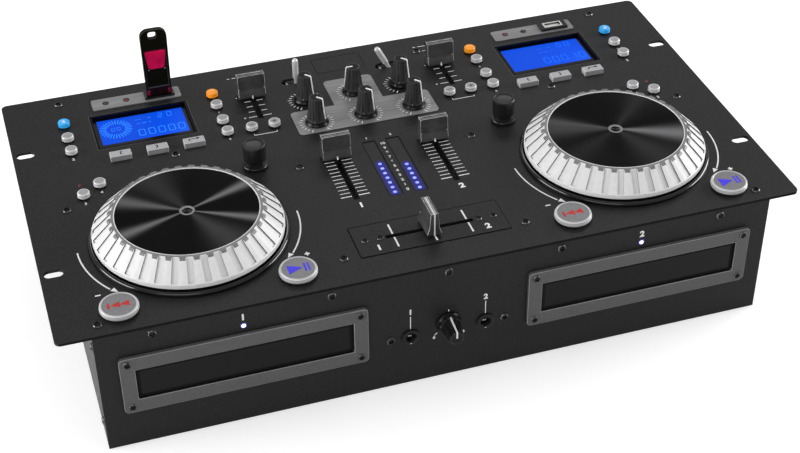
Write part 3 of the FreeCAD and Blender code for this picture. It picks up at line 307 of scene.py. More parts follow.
@dataclass(frozen=True)
class Finish:
    """A painted, moulded or plated surface with mottle, uneven gloss and fine grain."""

    name: str
    colour: Triple
    roughness: float = 0.45
    metallic: float = 0.0
    specular: float = 0.5
    coat: float = 0.0
    mottle: float = 0.12
    mottle_scale: float = 60.0
    grain: float = 0.02
    grain_scale: float = 1500.0
    stretch: Triple = (1.0, 1.0, 1.0)
    glow_strength: float = 0.0
    transmission: float = 0.0

    def material(self) -> bpy.types.Material:
        """The finish as a material, made once.

        Returns:
            The material.
        """
        if self.name not in SHELF:
            desk = NodeDesk(self.name)
            self.wire(desk)
            SHELF[self.name] = desk.material
        return SHELF[self.name]

    def wire(self, desk: NodeDesk) -> None:
        """Wires the finish into a material's nodes.

        Args:
            desk: The material's nodes.
        """
        desk.fix(metallic=self.metallic, specular=self.specular, coat=self.coat,
                 coat_roughness=0.08, transmission=self.transmission)
        patch = desk.noise(self.mottle_scale, self.stretch, 2.0)
        stops = [(0.3, tinted(self.colour, -self.mottle)), (0.7, tinted(self.colour, self.mottle))]
        desk.join(desk.ramp(patch, stops), desk.shader.inputs["Base Color"])
        fine = desk.noise(self.grain_scale, self.stretch, 3.0)
        uneven = desk.between(fine, self.roughness * 0.86, min(1.0, self.roughness * 1.14))
        desk.join(uneven, desk.shader.inputs["Roughness"])
        desk.bump(fine, self.grain)
        if self.glow_strength:
            desk.fix(glow=self.colour, glow_strength=self.glow_strength)


@dataclass(frozen=True)
class TurnedFinish(Finish):
    """A lathe-turned surface: rings about a centre, gloss drawn out across them and painted
    highlights in fans.
    """

    centre: Triple = (0.0, 0.0, 0.0)
    ring_pitch: float = 0.7
    draw: float = 0.85
    # Painted highlights: the direction, narrowness and brightness of each bright fan.
    fans: tuple[tuple[float, float, float], ...] = ()

    def wire(self, desk: NodeDesk) -> None:
        """Wires the rings, the drawn-out gloss and the painted highlights in soft fans.

        Args:
            desk: The material's nodes.
        """
        desk.fix(metallic=self.metallic, specular=self.specular, coat=self.coat,
                 anisotropy=self.draw, roughness=self.roughness)
        split = desk.add("ShaderNodeSeparateXYZ")
        desk.join(desk.mapped(self.centre), split.inputs[0])
        x, y = split.outputs["X"], split.outputs["Y"]
        radius = desk.maths("SQRT", desk.maths("ADD", desk.maths("MULTIPLY", x, x),
                                               desk.maths("MULTIPLY", y, y)))
        wave = desk.maths("SINE", desk.maths("MULTIPLY", radius,
                                             2 * math.pi / (self.ring_pitch * MM)))
        angle = desk.maths("ARCTAN2", y, x)
        # Painted highlights: soft bright fans in the base colour at fixed directions.
        painted_shine: object = 0.0
        for direction, width, level in self.fans:
            turned = desk.maths("SUBTRACT", angle, math.radians(direction))
            near = desk.maths("COSINE", turned)
            peak = desk.maths("POWER", desk.maths("MAXIMUM", near, 0.0), width)
            painted_shine = desk.maths("ADD", painted_shine, desk.maths("MULTIPLY", peak, level))
        rings = desk.between(wave, 0.75, 1.0)
        level = desk.maths("MULTIPLY", painted_shine, rings)
        stops = [(0.0, self.colour), (1.0, (0.3, 0.3, 0.31))]
        desk.join(desk.ramp(level, stops), desk.shader.inputs["Base Color"])
        desk.bump(wave, self.grain)
        tangent = desk.add("ShaderNodeCombineXYZ")
        desk.join(desk.maths("MULTIPLY", y, -1.0), tangent.inputs["X"])
        desk.join(x, tangent.inputs["Y"])
        world = desk.add("ShaderNodeVectorTransform", vector_type="VECTOR",
                         convert_from="OBJECT", convert_to="WORLD")
        desk.join(tangent.outputs[0], world.inputs[0])
        desk.join(world.outputs[0], desk.shader.inputs["Tangent"])


@dataclass(frozen=True)
class LitPane(Finish):
    """A backlit pane that is brighter towards one corner."""

    corner: Triple = (0.0, 0.0, 0.0)
    reach: float = 0.04
    edge_colour: Triple = (0.05, 0.2, 1.0)

    def wire(self, desk: NodeDesk) -> None:
        """Wires the backlight's spread and the pane's gloss.

        Args:
            desk: The material's nodes.
        """
        desk.fix(colour=tinted(self.colour, -0.85), roughness=self.roughness,
                 specular=self.specular, glow_strength=self.glow_strength)
        length = desk.add("ShaderNodeVectorMath", operation="LENGTH")
        desk.join(desk.mapped(self.corner), length.inputs[0])
        away = desk.maths("DIVIDE", length.outputs["Value"], self.reach)
        haze = desk.between(desk.noise(90.0), -0.08, 0.08)
        stops = [(0.0, self.edge_colour), (0.45, tinted(self.colour, 0.12)), (1.0, self.colour)]
        shade = desk.ramp(desk.maths("ADD", away, haze), stops)
        desk.join(shade, desk.shader.inputs["Emission Color"])


@dataclass(frozen=True)
class MeterLens(Finish):
    """A smoked lens with a soft glow round the lights that are on."""

    bar_x: float = METER_X
    tops: Pair = (116.5, 111.0)

    def wire(self, desk: NodeDesk) -> None:
        """Wires the glow, which fades above the last light and to the sides.

        Args:
            desk: The material's nodes.
        """
        desk.fix(colour=self.colour, roughness=self.roughness, coat=self.coat,
                 glow_strength=self.glow_strength)
        split = desk.add("ShaderNodeSeparateXYZ")
        desk.join(desk.mapped((0.0, -HALF_DEPTH * MM, 0.0), (1 / MM, 1 / MM, 1 / MM)),
                  split.inputs[0])
        x, y = split.outputs["X"], split.outputs["Y"]
        right = desk.maths("GREATER_THAN", x, 0.0)
        top = desk.maths("ADD", self.tops[0],
                         desk.maths("MULTIPLY", right, self.tops[1] - self.tops[0]))
        above = desk.maths("MAXIMUM", desk.maths("SUBTRACT", y, top), 0.0)
        off = desk.maths("ABSOLUTE", desk.maths("SUBTRACT", desk.maths("ABSOLUTE", x),
                                                self.bar_x))
        reach = desk.maths("ADD", desk.maths("MULTIPLY", off, 0.2),
                           desk.maths("MULTIPLY", above, 0.19))
        grain = desk.between(desk.noise(700.0), -0.05, 0.05)
        stops = [(0.2, (0.001, 0.001, 0.26)), (0.6, (0.0, 0.0, 0.09)), (0.95, (0.0, 0.0, 0.0))]
        desk.join(desk.ramp(desk.maths("ADD", reach, grain), stops),
                  desk.shader.inputs["Emission Color"])


PANEL_PAINT = Finish(
    "panel_powder_coat", (0.0108, 0.0108, 0.011), 0.50, specular=0.36, grain=0.08,
    grain_scale=1700.0, mottle=0.6, mottle_scale=850.0)
FRONT_PAINT = Finish(
    "front_powder_coat", (0.0135, 0.0135, 0.0137), 0.55, specular=0.25, grain=0.06,
    grain_scale=1700.0, mottle=0.3, mottle_scale=800.0)
CASE_PAINT = Finish(
    "case_powder_coat", (0.012, 0.0122, 0.0126), 0.36, specular=0.45, grain=0.03,
    grain_scale=1500.0)
BEZEL_GREY = Finish(
    "bezel_satin_grey", (0.088, 0.089, 0.091), 0.5, grain=0.05, grain_scale=1600.0, mottle=0.1,
    mottle_scale=500.0)
# Painted highlight on the bezels' rounded edges.
BEZEL_EDGE_HIGHLIGHT = Finish("bezel_painted_edge_highlight", (0.24, 0.242, 0.245), 0.35, mottle=0.15)
GLOSS_BLACK = Finish(
    "moulded_gloss_black", (0.003, 0.003, 0.0031), 0.14, specular=0.5, coat=0.6, grain=0.002,
    mottle=0.2)
BRUSHED_GREY = Finish(
    "brushed_overlay", (0.235, 0.237, 0.24), 0.4, metallic=0.25, grain=0.015, grain_scale=1400.0,
    stretch=(0.05, 1.0, 1.0), mottle=0.14, mottle_scale=420.0)
# Matt black plastic, also used as painted shade on the button stems and the bezels' inner walls.
BLACK_PLASTIC_AND_SHADE = Finish(
    "matt_black_plastic_and_shade", (0.0075, 0.0075, 0.008), 0.42, specular=0.4, grain=0.02,
    grain_scale=1800.0)
CAP_BLACK = Finish(
    "fader_cap_satin", (0.055, 0.055, 0.056), 0.34, specular=0.5, grain=0.03, grain_scale=900.0,
    mottle=0.35, mottle_scale=130.0)
# Painted highlight on the fader caps' rounded edges.
CAP_EDGE_HIGHLIGHT = Finish("fader_cap_painted_highlight", (0.42, 0.42, 0.425), 0.3, mottle=0.35, mottle_scale=200.0)
KNOB_TOP = Finish(
    "knob_top_matt", (0.006, 0.006, 0.0065), 0.55, specular=0.25, mottle=0.3, mottle_scale=600.0)
KNOB_BLACK = Finish(
    "knob_rubberised", (0.034, 0.034, 0.035), 0.38, specular=0.5, grain=0.008, grain_scale=1600.0)
KNOB_FOOT = Finish("knob_foot_dark", (0.0035, 0.0035, 0.0037), 0.3, specular=0.3)
SELECTOR_BLACK = Finish(
    "selector_satin", (0.0095, 0.0095, 0.010), 0.32, specular=0.5, grain=0.01)
# Silver paint of the jog wheels, also used as a painted highlight on the large buttons' chamfers.
JOG_SILVER_AND_HIGHLIGHT = Finish(
    "jog_silver_paint_and_highlight", (0.80, 0.80, 0.80), 0.4, metallic=0.0, grain=0.008, grain_scale=2500.0,
    mottle=0.03, mottle_scale=300.0)
# Painted shade: the jog wheel's upward rim and tabs in a darker grey than its silver.
JOG_RIM_SHADE = Finish(
    "jog_rim_painted_shade", (0.2, 0.2, 0.2), 0.42, metallic=0.1, grain=0.01, mottle=0.05)
# Painted shade on the walls of the jog wheel's grips.
JOG_SHADOW = Finish("grip_wall_painted_shade", (0.085, 0.083, 0.08), 0.6, mottle=0.1)
BUTTON_SILVER = Finish(
    "button_satin_silver", (0.68, 0.675, 0.69), 0.33, metallic=0.2, grain=0.008,
    grain_scale=2200.0, mottle=0.05)
CAP_FACE = Finish(
    "large_button_face", (0.205, 0.203, 0.212), 0.45, metallic=0.1, grain=0.012,
    grain_scale=2200.0, mottle=0.12, mottle_scale=900.0)
KEY_FACE = Finish(
    "key_face_silver", (0.41, 0.407, 0.42), 0.42, metallic=0.1, grain=0.012, grain_scale=2200.0,
    mottle=0.12, mottle_scale=900.0)
KEY_SILVER = Finish(
    "large_button_silver", (0.56, 0.556, 0.57), 0.3, metallic=0.2, grain=0.008,
    grain_scale=2200.0, mottle=0.05)
BUTTON_FACE = Finish(
    "button_face_grey", (0.33, 0.326, 0.34), 0.45, metallic=0.1, grain=0.01, grain_scale=2200.0,
    mottle=0.06)
BUTTON_BLUE = Finish(
    "button_lit_blue", (0.025, 0.36, 0.80), 0.3, glow_strength=0.18, coat=0.4, mottle=0.18,
    mottle_scale=250.0)
BUTTON_ORANGE = Finish(
    "button_lit_orange", (0.92, 0.30, 0.008), 0.35, glow_strength=0.15, coat=0.3, mottle=0.12,
    mottle_scale=250.0)
WHITE_INK = Finish("white_print", (0.86, 0.86, 0.85), 0.6, mottle=0.06, mottle_scale=400.0)
FAINT_INK = Finish(
    "fine_white_print", (0.6, 0.6, 0.59), 0.6, mottle=0.1, mottle_scale=400.0)
# Dark print and joint lines, also used as painted shade along edges, gaps and slots.
DARK_INK_AND_SHADE = Finish("dark_line_and_shade", (0.0016, 0.0016, 0.0017), 0.7, specular=0.2)
RED_INK = Finish("red_print", (0.52, 0.012, 0.008), 0.5, mottle=0.2, mottle_scale=500.0)
VIOLET_INK = Finish(
    "blue_print", (0.04, 0.025, 0.62), 0.5, glow_strength=0.2, mottle=0.15, mottle_scale=500.0)
SCREW_BLACK = Finish(
    "blackened_screw", (0.002, 0.002, 0.0022), 0.25, specular=0.25, grain=0.01)
# Painted glints on the screws' outer slopes.
SCREW_GLINT = Finish(
    "screw_painted_glint_rim", (0.14, 0.14, 0.145), 0.22, metallic=0.8, mottle=0.6, mottle_scale=700.0)
CHROME = Finish(
    "polished_chrome", (0.62, 0.62, 0.63), 0.12, metallic=1.0, mottle=0.05, grain=0.002)
SOCKET_LIP = Finish(
    "socket_bright_lip", (0.78, 0.77, 0.75), 0.25, metallic=0.35, mottle=0.1, mottle_scale=400.0)
SOCKET_METAL = Finish(
    "plated_socket", (0.52, 0.51, 0.49), 0.22, metallic=1.0, mottle=0.06, grain=0.004)
STEEL = Finish(
    "zinc_steel", (0.42, 0.42, 0.43), 0.4, metallic=0.9, mottle=0.2, mottle_scale=180.0)
BOARD_GREEN = Finish(
    "circuit_board", (0.012, 0.12, 0.045), 0.35, mottle=0.35, mottle_scale=700.0, coat=0.3)
WINDOW_FRAME = Finish(
    "window_border", (0.0015, 0.0018, 0.004), 0.3, specular=0.25, grain=0.001, mottle=0.1)
SEGMENT_BLUE = Finish(
    "display_segment", (0.022, 0.205, 0.93), 0.5, specular=0.1, glow_strength=0.8, mottle=0.05)
SEGMENT_FAINT = Finish(
    "display_segment_faint", (0.006, 0.118, 0.87), 0.5, specular=0.1, glow_strength=0.8,
    mottle=0.05)
LED_RED = Finish("red_lamp", (0.16, 0.004, 0.006), 0.2, coat=0.5, glow_strength=0.2)
LED_DARK = Finish("dark_lamp", (0.006, 0.005, 0.005), 0.15, coat=0.6)
LED_WHITE = Finish("white_lamp", (0.80, 0.80, 1.0), 0.3, glow_strength=1.4, mottle=0.02)
LED_HALO = Finish("lamp_painted_halo", (0.06, 0.05, 0.38), 0.4, glow_strength=0.5, mottle=0.1)
METER_DOT = Finish(
    "meter_lamp", (0.20, 0.27, 1.0), 0.3, glow_strength=1.0, mottle=0.6, mottle_scale=700.0)
STICK_BLACK = Finish(
    "stick_satin_black", (0.0065, 0.0055, 0.001), 0.5, specular=0.06, grain=0.003)
# Painted highlight on the memory stick's rounded edges.
STICK_EDGE_HIGHLIGHT = Finish("stick_painted_edge_highlight", (0.035, 0.035, 0.036), 0.3)
STICK_PINK = Finish(
    "stick_slider_magenta", (0.60, 0.003, 0.065), 0.3, specular=0.3, glow_strength=0.1,
    mottle=0.25, mottle_scale=110.0)
STICK_RED = Finish(
    "stick_clear_red", (0.2, 0.004, 0.012), 0.12, coat=0.9, glow_strength=0.04, mottle=0.7,
    mottle_scale=500.0)
STICK_FOOT = Finish(
    "stick_foot_dark", (0.012, 0.003, 0.003), 0.5, specular=0.1, mottle=0.6, mottle_scale=700.0)
PHONO_RED = Finish("phono_red", (0.42, 0.012, 0.01), 0.35, mottle=0.06)
PHONO_WHITE = Finish("phono_white", (0.62, 0.62, 0.6), 0.35, mottle=0.04)
TRAY_MATT = Finish("tray_matt_black", (0.010, 0.010, 0.0105), 0.6, grain=0.04)
DOOR_GLOSS = Finish(
    "tray_door_gloss", (0.003, 0.003, 0.0033), 0.18, specular=0.2, grain=0.004, grain_scale=700.0)
LEVER_NICKEL = Finish("lever_nickel", (0.80, 0.80, 0.81), 0.3, metallic=0.3)


# ---- The bench: the moves with which every piece is started, shaped and finished ----
class Bench:
    """Modelling moves in edit and object mode."""

    @staticmethod
    def clear() -> None:
        """Goes back to object mode with nothing selected."""
        if bpy.context.object is not None and bpy.context.object.mode != "OBJECT":
            bpy.ops.object.mode_set(mode="OBJECT")
        bpy.ops.object.select_all(action="DESELECT")

    @staticmethod
    def pick(things: Iterable[Thing]) -> None:
        """Selects some pieces and makes the first of them active.

        Args:
            things: The pieces.
        """
        Bench.clear()
        chosen = list(things)
        for thing in chosen:
            thing.select_set(True)
        bpy.context.view_layer.objects.active = chosen[0]

    @staticmethod
    def enter(thing: Thing, mode: str) -> None:
        """Opens a piece in edit mode with what is marked on it selected.

        Args:
            thing: The piece.
            mode: What is picked: VERT, EDGE or FACE.
        """
        Bench.pick([thing])
        bpy.ops.object.mode_set(mode="EDIT")
        bpy.ops.mesh.select_mode(type=mode)

    @staticmethod
    def edit(thing: Thing, mode: str = "FACE") -> None:
        """Opens a piece in edit mode with all of it selected."""
        Bench.enter(thing, mode)
        bpy.ops.mesh.select_all(action="SELECT")

    @staticmethod
    def unmark(thing: Thing) -> None:
        """Clears every mark on a piece, before a few are set."""
        for item in (*thing.data.vertices, *thing.data.edges, *thing.data.polygons):
            item.select = False

    @staticmethod
    def extrude(step: Triple) -> None:
        """Pulls what is selected out by a step, in edit mode."""
        move = {"value": tuple(s * MM for s in step)}
        bpy.ops.mesh.extrude_region_move(TRANSFORM_OT_translate=move)

    @staticmethod
    def close() -> None:
        """Leaves edit mode."""
        bpy.ops.object.mode_set(mode="OBJECT")

    @staticmethod
    def started(name: str) -> Thing:
        """Names the primitive just added, with its place in its mesh.

        Args:
            name: The piece's name.

        Returns:
            The piece.
        """
        thing = bpy.context.object
        thing.name = thing.data.name = name
        bpy.ops.object.transform_apply(location=True, rotation=True, scale=True)
        return thing

    @staticmethod
    def mend() -> None:
        """Merges doubles and turns all faces outwards, in edit mode."""
        bpy.ops.mesh.select_all(action="SELECT")
        bpy.ops.mesh.remove_doubles(threshold=MERGE)
        bpy.ops.mesh.normals_make_consistent(inside=False)

    @staticmethod
    def rise(profile: Sequence[Pair]) -> None:
        """Extrudes what is selected ring by ring up a profile of (radius, height).

        Args:
            profile: The (radius, height) of each ring.
        """
        (radius, height), *rest = profile
        for next_radius, next_height in rest:
            Bench.extrude((0.0, 0.0, next_height - height))
            share = next_radius / radius
            bpy.ops.transform.resize(value=(share, share, 1.0), center_override=(0, 0, 0))
            radius, height = next_radius, next_height

    @staticmethod
    def turned(name: str, profile: Sequence[Pair], sides: int = 48) -> Thing:
        """A closed turned piece about the upright.

        Args:
            name: The piece's name.
            profile: Its outline as (radius, height), from the middle of the foot to the top.
            sides: How many flats go round.

        Returns:
            The piece, standing at the origin.
        """
        Bench.clear()
        radius, height = profile[0]
        bpy.ops.mesh.primitive_circle_add(vertices=sides, radius=radius * MM,
                                          fill_type="NGON", location=(0, 0, height * MM))
        thing = Bench.started(name)
        Bench.edit(thing)
        Bench.rise(profile)
        Bench.mend()
        Bench.close()
        return thing

    @staticmethod
    def hoop(name: str, profile: Sequence[Pair], sides: int = 64) -> Thing:
        """A turned ring whose closed outline of (radius, height) doesn't reach the axis.

        Args:
            name: The piece's name.
            profile: Its outline as (radius, height).
            sides: How many flats go round.

        Returns:
            The ring, round the upright.
        """
        Bench.clear()
        radius, height = profile[0]
        bpy.ops.mesh.primitive_circle_add(vertices=sides, radius=radius * MM,
                                          fill_type="NOTHING", location=(0, 0, height * MM))
        thing = Bench.started(name)
        Bench.edit(thing, "EDGE")
        Bench.rise([*profile, profile[0]])
        Bench.mend()
        Bench.close()
        return thing

    @staticmethod
    def bar(name: str, size: Triple, middle: Triple = (0, 0, 0), soften: float = 0.0) -> Thing:
        """A bar raised from a plate, with softened edges if wanted.

        Args:
            name: The piece's name.
            size: Length, depth and height.
            middle: The middle of its underside.
            soften: Radius of its edges.

        Returns:
            The piece.
        """
        Bench.clear()
        bpy.ops.mesh.primitive_plane_add(size=1.0)
        bpy.context.object.scale = (size[0] * MM, size[1] * MM, 1.0)
        bpy.context.object.location = Vector(middle) * MM
        thing = Bench.started(name)
        Bench.edit(thing)
        Bench.extrude((0.0, 0.0, size[2]))
        Bench.mend()
        Bench.close()
        if soften:
            Bench.soften(thing, soften)
        return thing

    @staticmethod
    def modify(thing: Thing, kind: str, **settings: object) -> None:
        """Adds one modifier and applies it.

        Args:
            thing: The piece.
            kind: The modifier's type.
            settings: Its properties.
        """
        Bench.pick([thing])
        modifier = thing.modifiers.new(kind.lower(), kind)
        for name, setting in settings.items():
            setattr(modifier, name, setting)
        bpy.ops.object.modifier_apply(modifier=modifier.name)

    @staticmethod
    def soften(thing: Thing, width: float, segments: int = 2, angle: float = 30.0,
               rim: "Finish | None" = None) -> None:
        """Rounds a piece's sharp edges, with a painted highlight on them in a finish of their own
        if wanted.

        Args:
            thing: The piece.
            width: Width of the rounding.
            segments: Steps in each rounding.
            angle: The least angle of an edge that is rounded.
            rim: Finish of the rounded edges, a painted highlight on them.
        """
        index = -1
        if rim is not None:
            thing.data.materials.append(rim.material())
            index = len(thing.data.materials) - 1
        Bench.modify(thing, "BEVEL", width=width * MM, segments=segments,
                     limit_method="ANGLE", angle_limit=math.radians(angle),
                     use_clamp_overlap=True, material=index)

    @staticmethod
    def round_off(thing: Thing, width: float, segments: int,
                  chosen: Callable[[Vector, Vector], bool]) -> None:
        """Rounds the edges that a rule on middle and direction picks.

        Args:
            thing: The piece.
            width: Width of the rounding.
            segments: Steps in it.
            chosen: The rule, in millimetres.
        """
        Bench.unmark(thing)
        for edge in thing.data.edges:
            start, end = (thing.data.vertices[i].co for i in edge.vertices)
            edge.select = chosen((start + end) / 2 / MM, (end - start).normalized())
        Bench.enter(thing, "EDGE")
        bpy.ops.mesh.bevel(offset=width * MM, segments=segments, affect="EDGES")
        Bench.close()

    @staticmethod
    def cut(thing: Thing, cutter: Thing) -> None:
        """Takes one piece away from another and clears it away."""
        Bench.modify(thing, "BOOLEAN", object=cutter, operation="DIFFERENCE", solver="EXACT")
        Bench.drop(cutter)

    @staticmethod
    def smooth(thing: Thing, angle: float = 32.0) -> None:
        """Shades a piece smooth except across its sharp edges.

        Args:
            thing: The piece.
            angle: The least angle of a sharp edge.
        """
        Bench.pick([thing])
        bpy.ops.object.shade_smooth_by_angle(angle=math.radians(angle))
        Bench.modify(thing, "WEIGHTED_NORMAL", keep_sharp=True, weight=100)

    @staticmethod
    def from_node(name: str, node: str, soften: float = 0.0, segments: int = 2) -> Thing:
        """A merged copy of a CAD node with softened edges.

        Args:
            name: The new piece's name.
            node: The node that it starts from.
            soften: Radius of its edges.
            segments: Steps in each rounded edge.

        Returns:
            The piece, in the node's place.
        """
        thing = bpy.data.objects.new(name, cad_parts[node].data.copy())
        thing.data.name = name
        bpy.context.scene.collection.objects.link(thing)
        thing.data.materials.clear()
        Bench.edit(thing)
        bpy.ops.mesh.remove_doubles(threshold=MERGE)
        bpy.ops.mesh.dissolve_limited(angle_limit=math.radians(0.6))
        Bench.close()
        if soften:
            Bench.soften(thing, soften, segments)
        return thing

    @staticmethod
    def copied(pattern: Thing, place: Matrix) -> Thing:
        """One more of a piece, with a mesh of its own, at a place.

        Args:
            pattern: The piece to copy.
            place: Where the copy goes.

        Returns:
            The copy.
        """
        thing = bpy.data.objects.new(pattern.name, pattern.data.copy())
        bpy.context.scene.collection.objects.link(thing)
        thing.data.transform(place)
        if place.determinant() < 0:
            thing.data.flip_normals()
        return thing

    @staticmethod
    def drop(*things: Thing) -> None:
        """Clears a pattern away once it has been copied."""
        for thing in things:
            bpy.data.objects.remove(thing, do_unlink=True)

    @staticmethod
    def moved(thing: Thing, place: Matrix) -> Thing:
        """Carries a piece's mesh to its place."""
        thing.data.transform(place)
        return thing

    @staticmethod
    def joined(name: str, things: Sequence[Thing]) -> Thing:
        """Several pieces made one.

        Args:
            name: The new piece's name.
            things: The pieces.

        Returns:
            The one piece.
        """
        Bench.pick(things)
        if len(things) > 1:
            bpy.ops.object.join()
        thing = bpy.context.view_layer.objects.active
        thing.name = thing.data.name = name
        return thing

    @staticmethod
    def repeated(name: str, pattern: Thing, places: Iterable[Matrix]) -> Thing:
        """A pattern copied to several places as one piece, and the pattern cleared away.

        Args:
            name: The new piece's name.
            pattern: The piece to copy.
            places: Where the copies go.

        Returns:
            The one piece.
        """
        things = [Bench.copied(pattern, place) for place in places]
        Bench.drop(pattern)
        return Bench.joined(name, things)

    @staticmethod
    def numeral(text: str, size: float) -> Thing:
        """A number or sign as a thin plate about the origin.

        Args:
            text: What it says.
            size: The type's size.

        Returns:
            The plate.
        """
        Bench.clear()
        bpy.ops.object.text_add()
        thing = bpy.context.object
        thing.data.body = text
        thing.data.size = size * MM
        thing.data.align_x = thing.data.align_y = "CENTER"
        thing.data.extrude = INK_DEPTH * MM / 2
        thing.data.offset = 0.045 * size * MM
        bpy.ops.object.convert(target="MESH")
        return bpy.context.object

    @staticmethod
    def paint(thing: Thing, finish: Finish) -> Thing:
        """Gives a whole piece one finish.

        Args:
            thing: The piece.
            finish: Its finish.

        Returns:
            The piece.
        """
        thing.data.materials.clear()
        thing.data.materials.append(finish.material())
        for face in thing.data.polygons:
            face.material_index = 0
        return thing

    @staticmethod
    def dress(thing: Thing, finish: Finish, angle: float = 32.0) -> Thing:
        """Paints a whole piece and shades it smooth."""
        Bench.smooth(Bench.paint(thing, finish), angle)
        return thing

    @staticmethod
    def paint_where(thing: Thing, finish: Finish,
                    chosen: Callable[[Vector, Vector], bool]) -> None:
        """Gives another finish to the faces that a rule on centre and normal picks.

        Args:
            thing: The piece.
            finish: The other finish.
            chosen: The rule, in millimetres.
        """
        thing.data.materials.append(finish.material())
        index = len(thing.data.materials) - 1
        for face in thing.data.polygons:
            if chosen(face.center / MM, face.normal):
                face.material_index = index

    @staticmethod
    def fit(thing: Thing, body: str = CONSOLE, slot: str = "",
            nodes: Sequence[str] = ()) -> Thing:
        """Hands a finished piece to the body that it rides on.

        Args:
            thing: The piece.
            body: The body's name.
            slot: The record's material slot; not used.
            nodes: CAD nodes that the piece stands for.

        Returns:
            The piece.
        """
        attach(thing, body)
        if nodes:
            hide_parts(*nodes)
        LOG.info("%s: %d faces on %s", thing.name, len(thing.data.polygons), body)
        return thing


class Ink:
    """Printed marks on one surface, gathered one by one and joined into one piece."""

    def __init__(self, name: str, finish: Finish, surface: Callable[..., Matrix],
                 lift: float = 0.0) -> None:
        """Starts a print.

        Args:
            name: The piece's name.
            finish: The ink.
            surface: Where (x, y) lies, as on_panel or on_front.
            lift: Height of the surface above the panel or the front face.
        """
        self.name, self.finish, self.surface, self.lift = name, finish, surface, lift
        self.dash = Bench.bar("dash", (1.0, 1.0, 1.0))
        self.marks: list[Thing] = []

    def put(self, pattern: Thing, x: float, y: float, turn: float = 0.0,
            scale: Triple = (1, 1, 1)) -> None:
        """Copies a pattern onto the surface."""
        place = self.surface(x, y, self.lift, turn) @ spread(scale)
        self.marks.append(Bench.copied(pattern, place))

    def line(self, x1: float, y1: float, x2: float, y2: float, width: float = 0.6) -> None:
        """A straight line between two points.

        Args:
            x1, y1: One end.
            x2, y2: The other end.
            width: The line's width.
        """
        length = math.hypot(x2 - x1, y2 - y1)
        turn = math.degrees(math.atan2(y2 - y1, x2 - x1))
        self.put(self.dash, (x1 + x2) / 2, (y1 + y2) / 2, turn, (length, width, INK_DEPTH))

    def frame_of(self, x: float, y: float, width: float, height: float,
                 line: float = 0.5) -> None:
        """The four sides of a rectangle about a centre.

        Args:
            x, y: The centre.
            width: Its width.
            height: Its height.
            line: The lines' width.
        """
        for sign in (-1, 1):
            self.line(x - width / 2, y + sign * height / 2, x + width / 2,
                      y + sign * height / 2, line)
            self.line(x + sign * width / 2, y - height / 2, x + sign * width / 2,
                      y + height / 2, line)

    def arc(self, x: float, y: float, radius: float, start: float, end: float,
            width: float = 0.9) -> None:
        """Part of a ring, swept from one direction to another in degrees.

        Args:
            x, y: The ring's middle.
            radius: The ring's radius.
            start: Where it starts.
            end: Where it ends.
            width: The line's width.
        """
        Bench.clear()
        bpy.ops.mesh.primitive_plane_add(size=1.0)
        section = bpy.context.object
        section.scale = (width * MM, INK_DEPTH * MM, 1.0)
        section.rotation_euler = (math.radians(90), 0.0, 0.0)
        section.location = (radius * MM, 0.0, INK_DEPTH * MM / 2)
        section = Bench.started("arc")
        Bench.edit(section)
        bpy.ops.mesh.spin(steps=24, angle=-math.radians(end - start), center=(0, 0, 0),
                          axis=(0, 0, 1))
        Bench.mend()
        Bench.close()
        self.put(section, x, y, start)
        Bench.drop(section)

    def wedge(self, x: float, y: float, size: float, turn: float, squash: float = 1.0) -> None:
        """A triangle that points along a direction in degrees.

        Args:
            x, y: The middle.
            size: Distance from the middle to a tip.
            turn: The direction.
            squash: Share of its width that is kept.
        """
        Bench.clear()
        bpy.ops.mesh.primitive_circle_add(vertices=3, radius=size * MM, fill_type="NGON")
        tip = Bench.started("wedge")
        Bench.edit(tip)
        Bench.extrude((0.0, 0.0, INK_DEPTH))
        Bench.mend()
        Bench.close()
        place = self.surface(x, y, self.lift, turn - 90.0) @ spread((squash, 1, 1))
        self.marks.append(Bench.moved(tip, place))

    def number(self, text: str, x: float, y: float, size: float, turn: float = 0.0,
               width: float = 1.0) -> None:
        """A number or sign centred on a point.

        Args:
            text: What it says.
            x, y: The middle.
            size: The type's size.
            turn: Turn in degrees.
            width: Stretch along the line.
        """
        numeral = Bench.numeral(text, size)
        place = self.surface(x, y, self.lift + INK_DEPTH / 2, turn) @ spread((width, 1, 1))
        self.marks.append(Bench.moved(numeral, place))

    def piece(self, body: str = CONSOLE, slot: str = "") -> Thing:
        """Joins the marks, inks them and fits them to a body.

        Args:
            body: The body's name.
            slot: The record's material slot.

        Returns:
            The print.
        """
        Bench.drop(self.dash)
        thing = Bench.paint(Bench.joined(self.name, self.marks), self.finish)
        return Bench.fit(thing, body, slot)


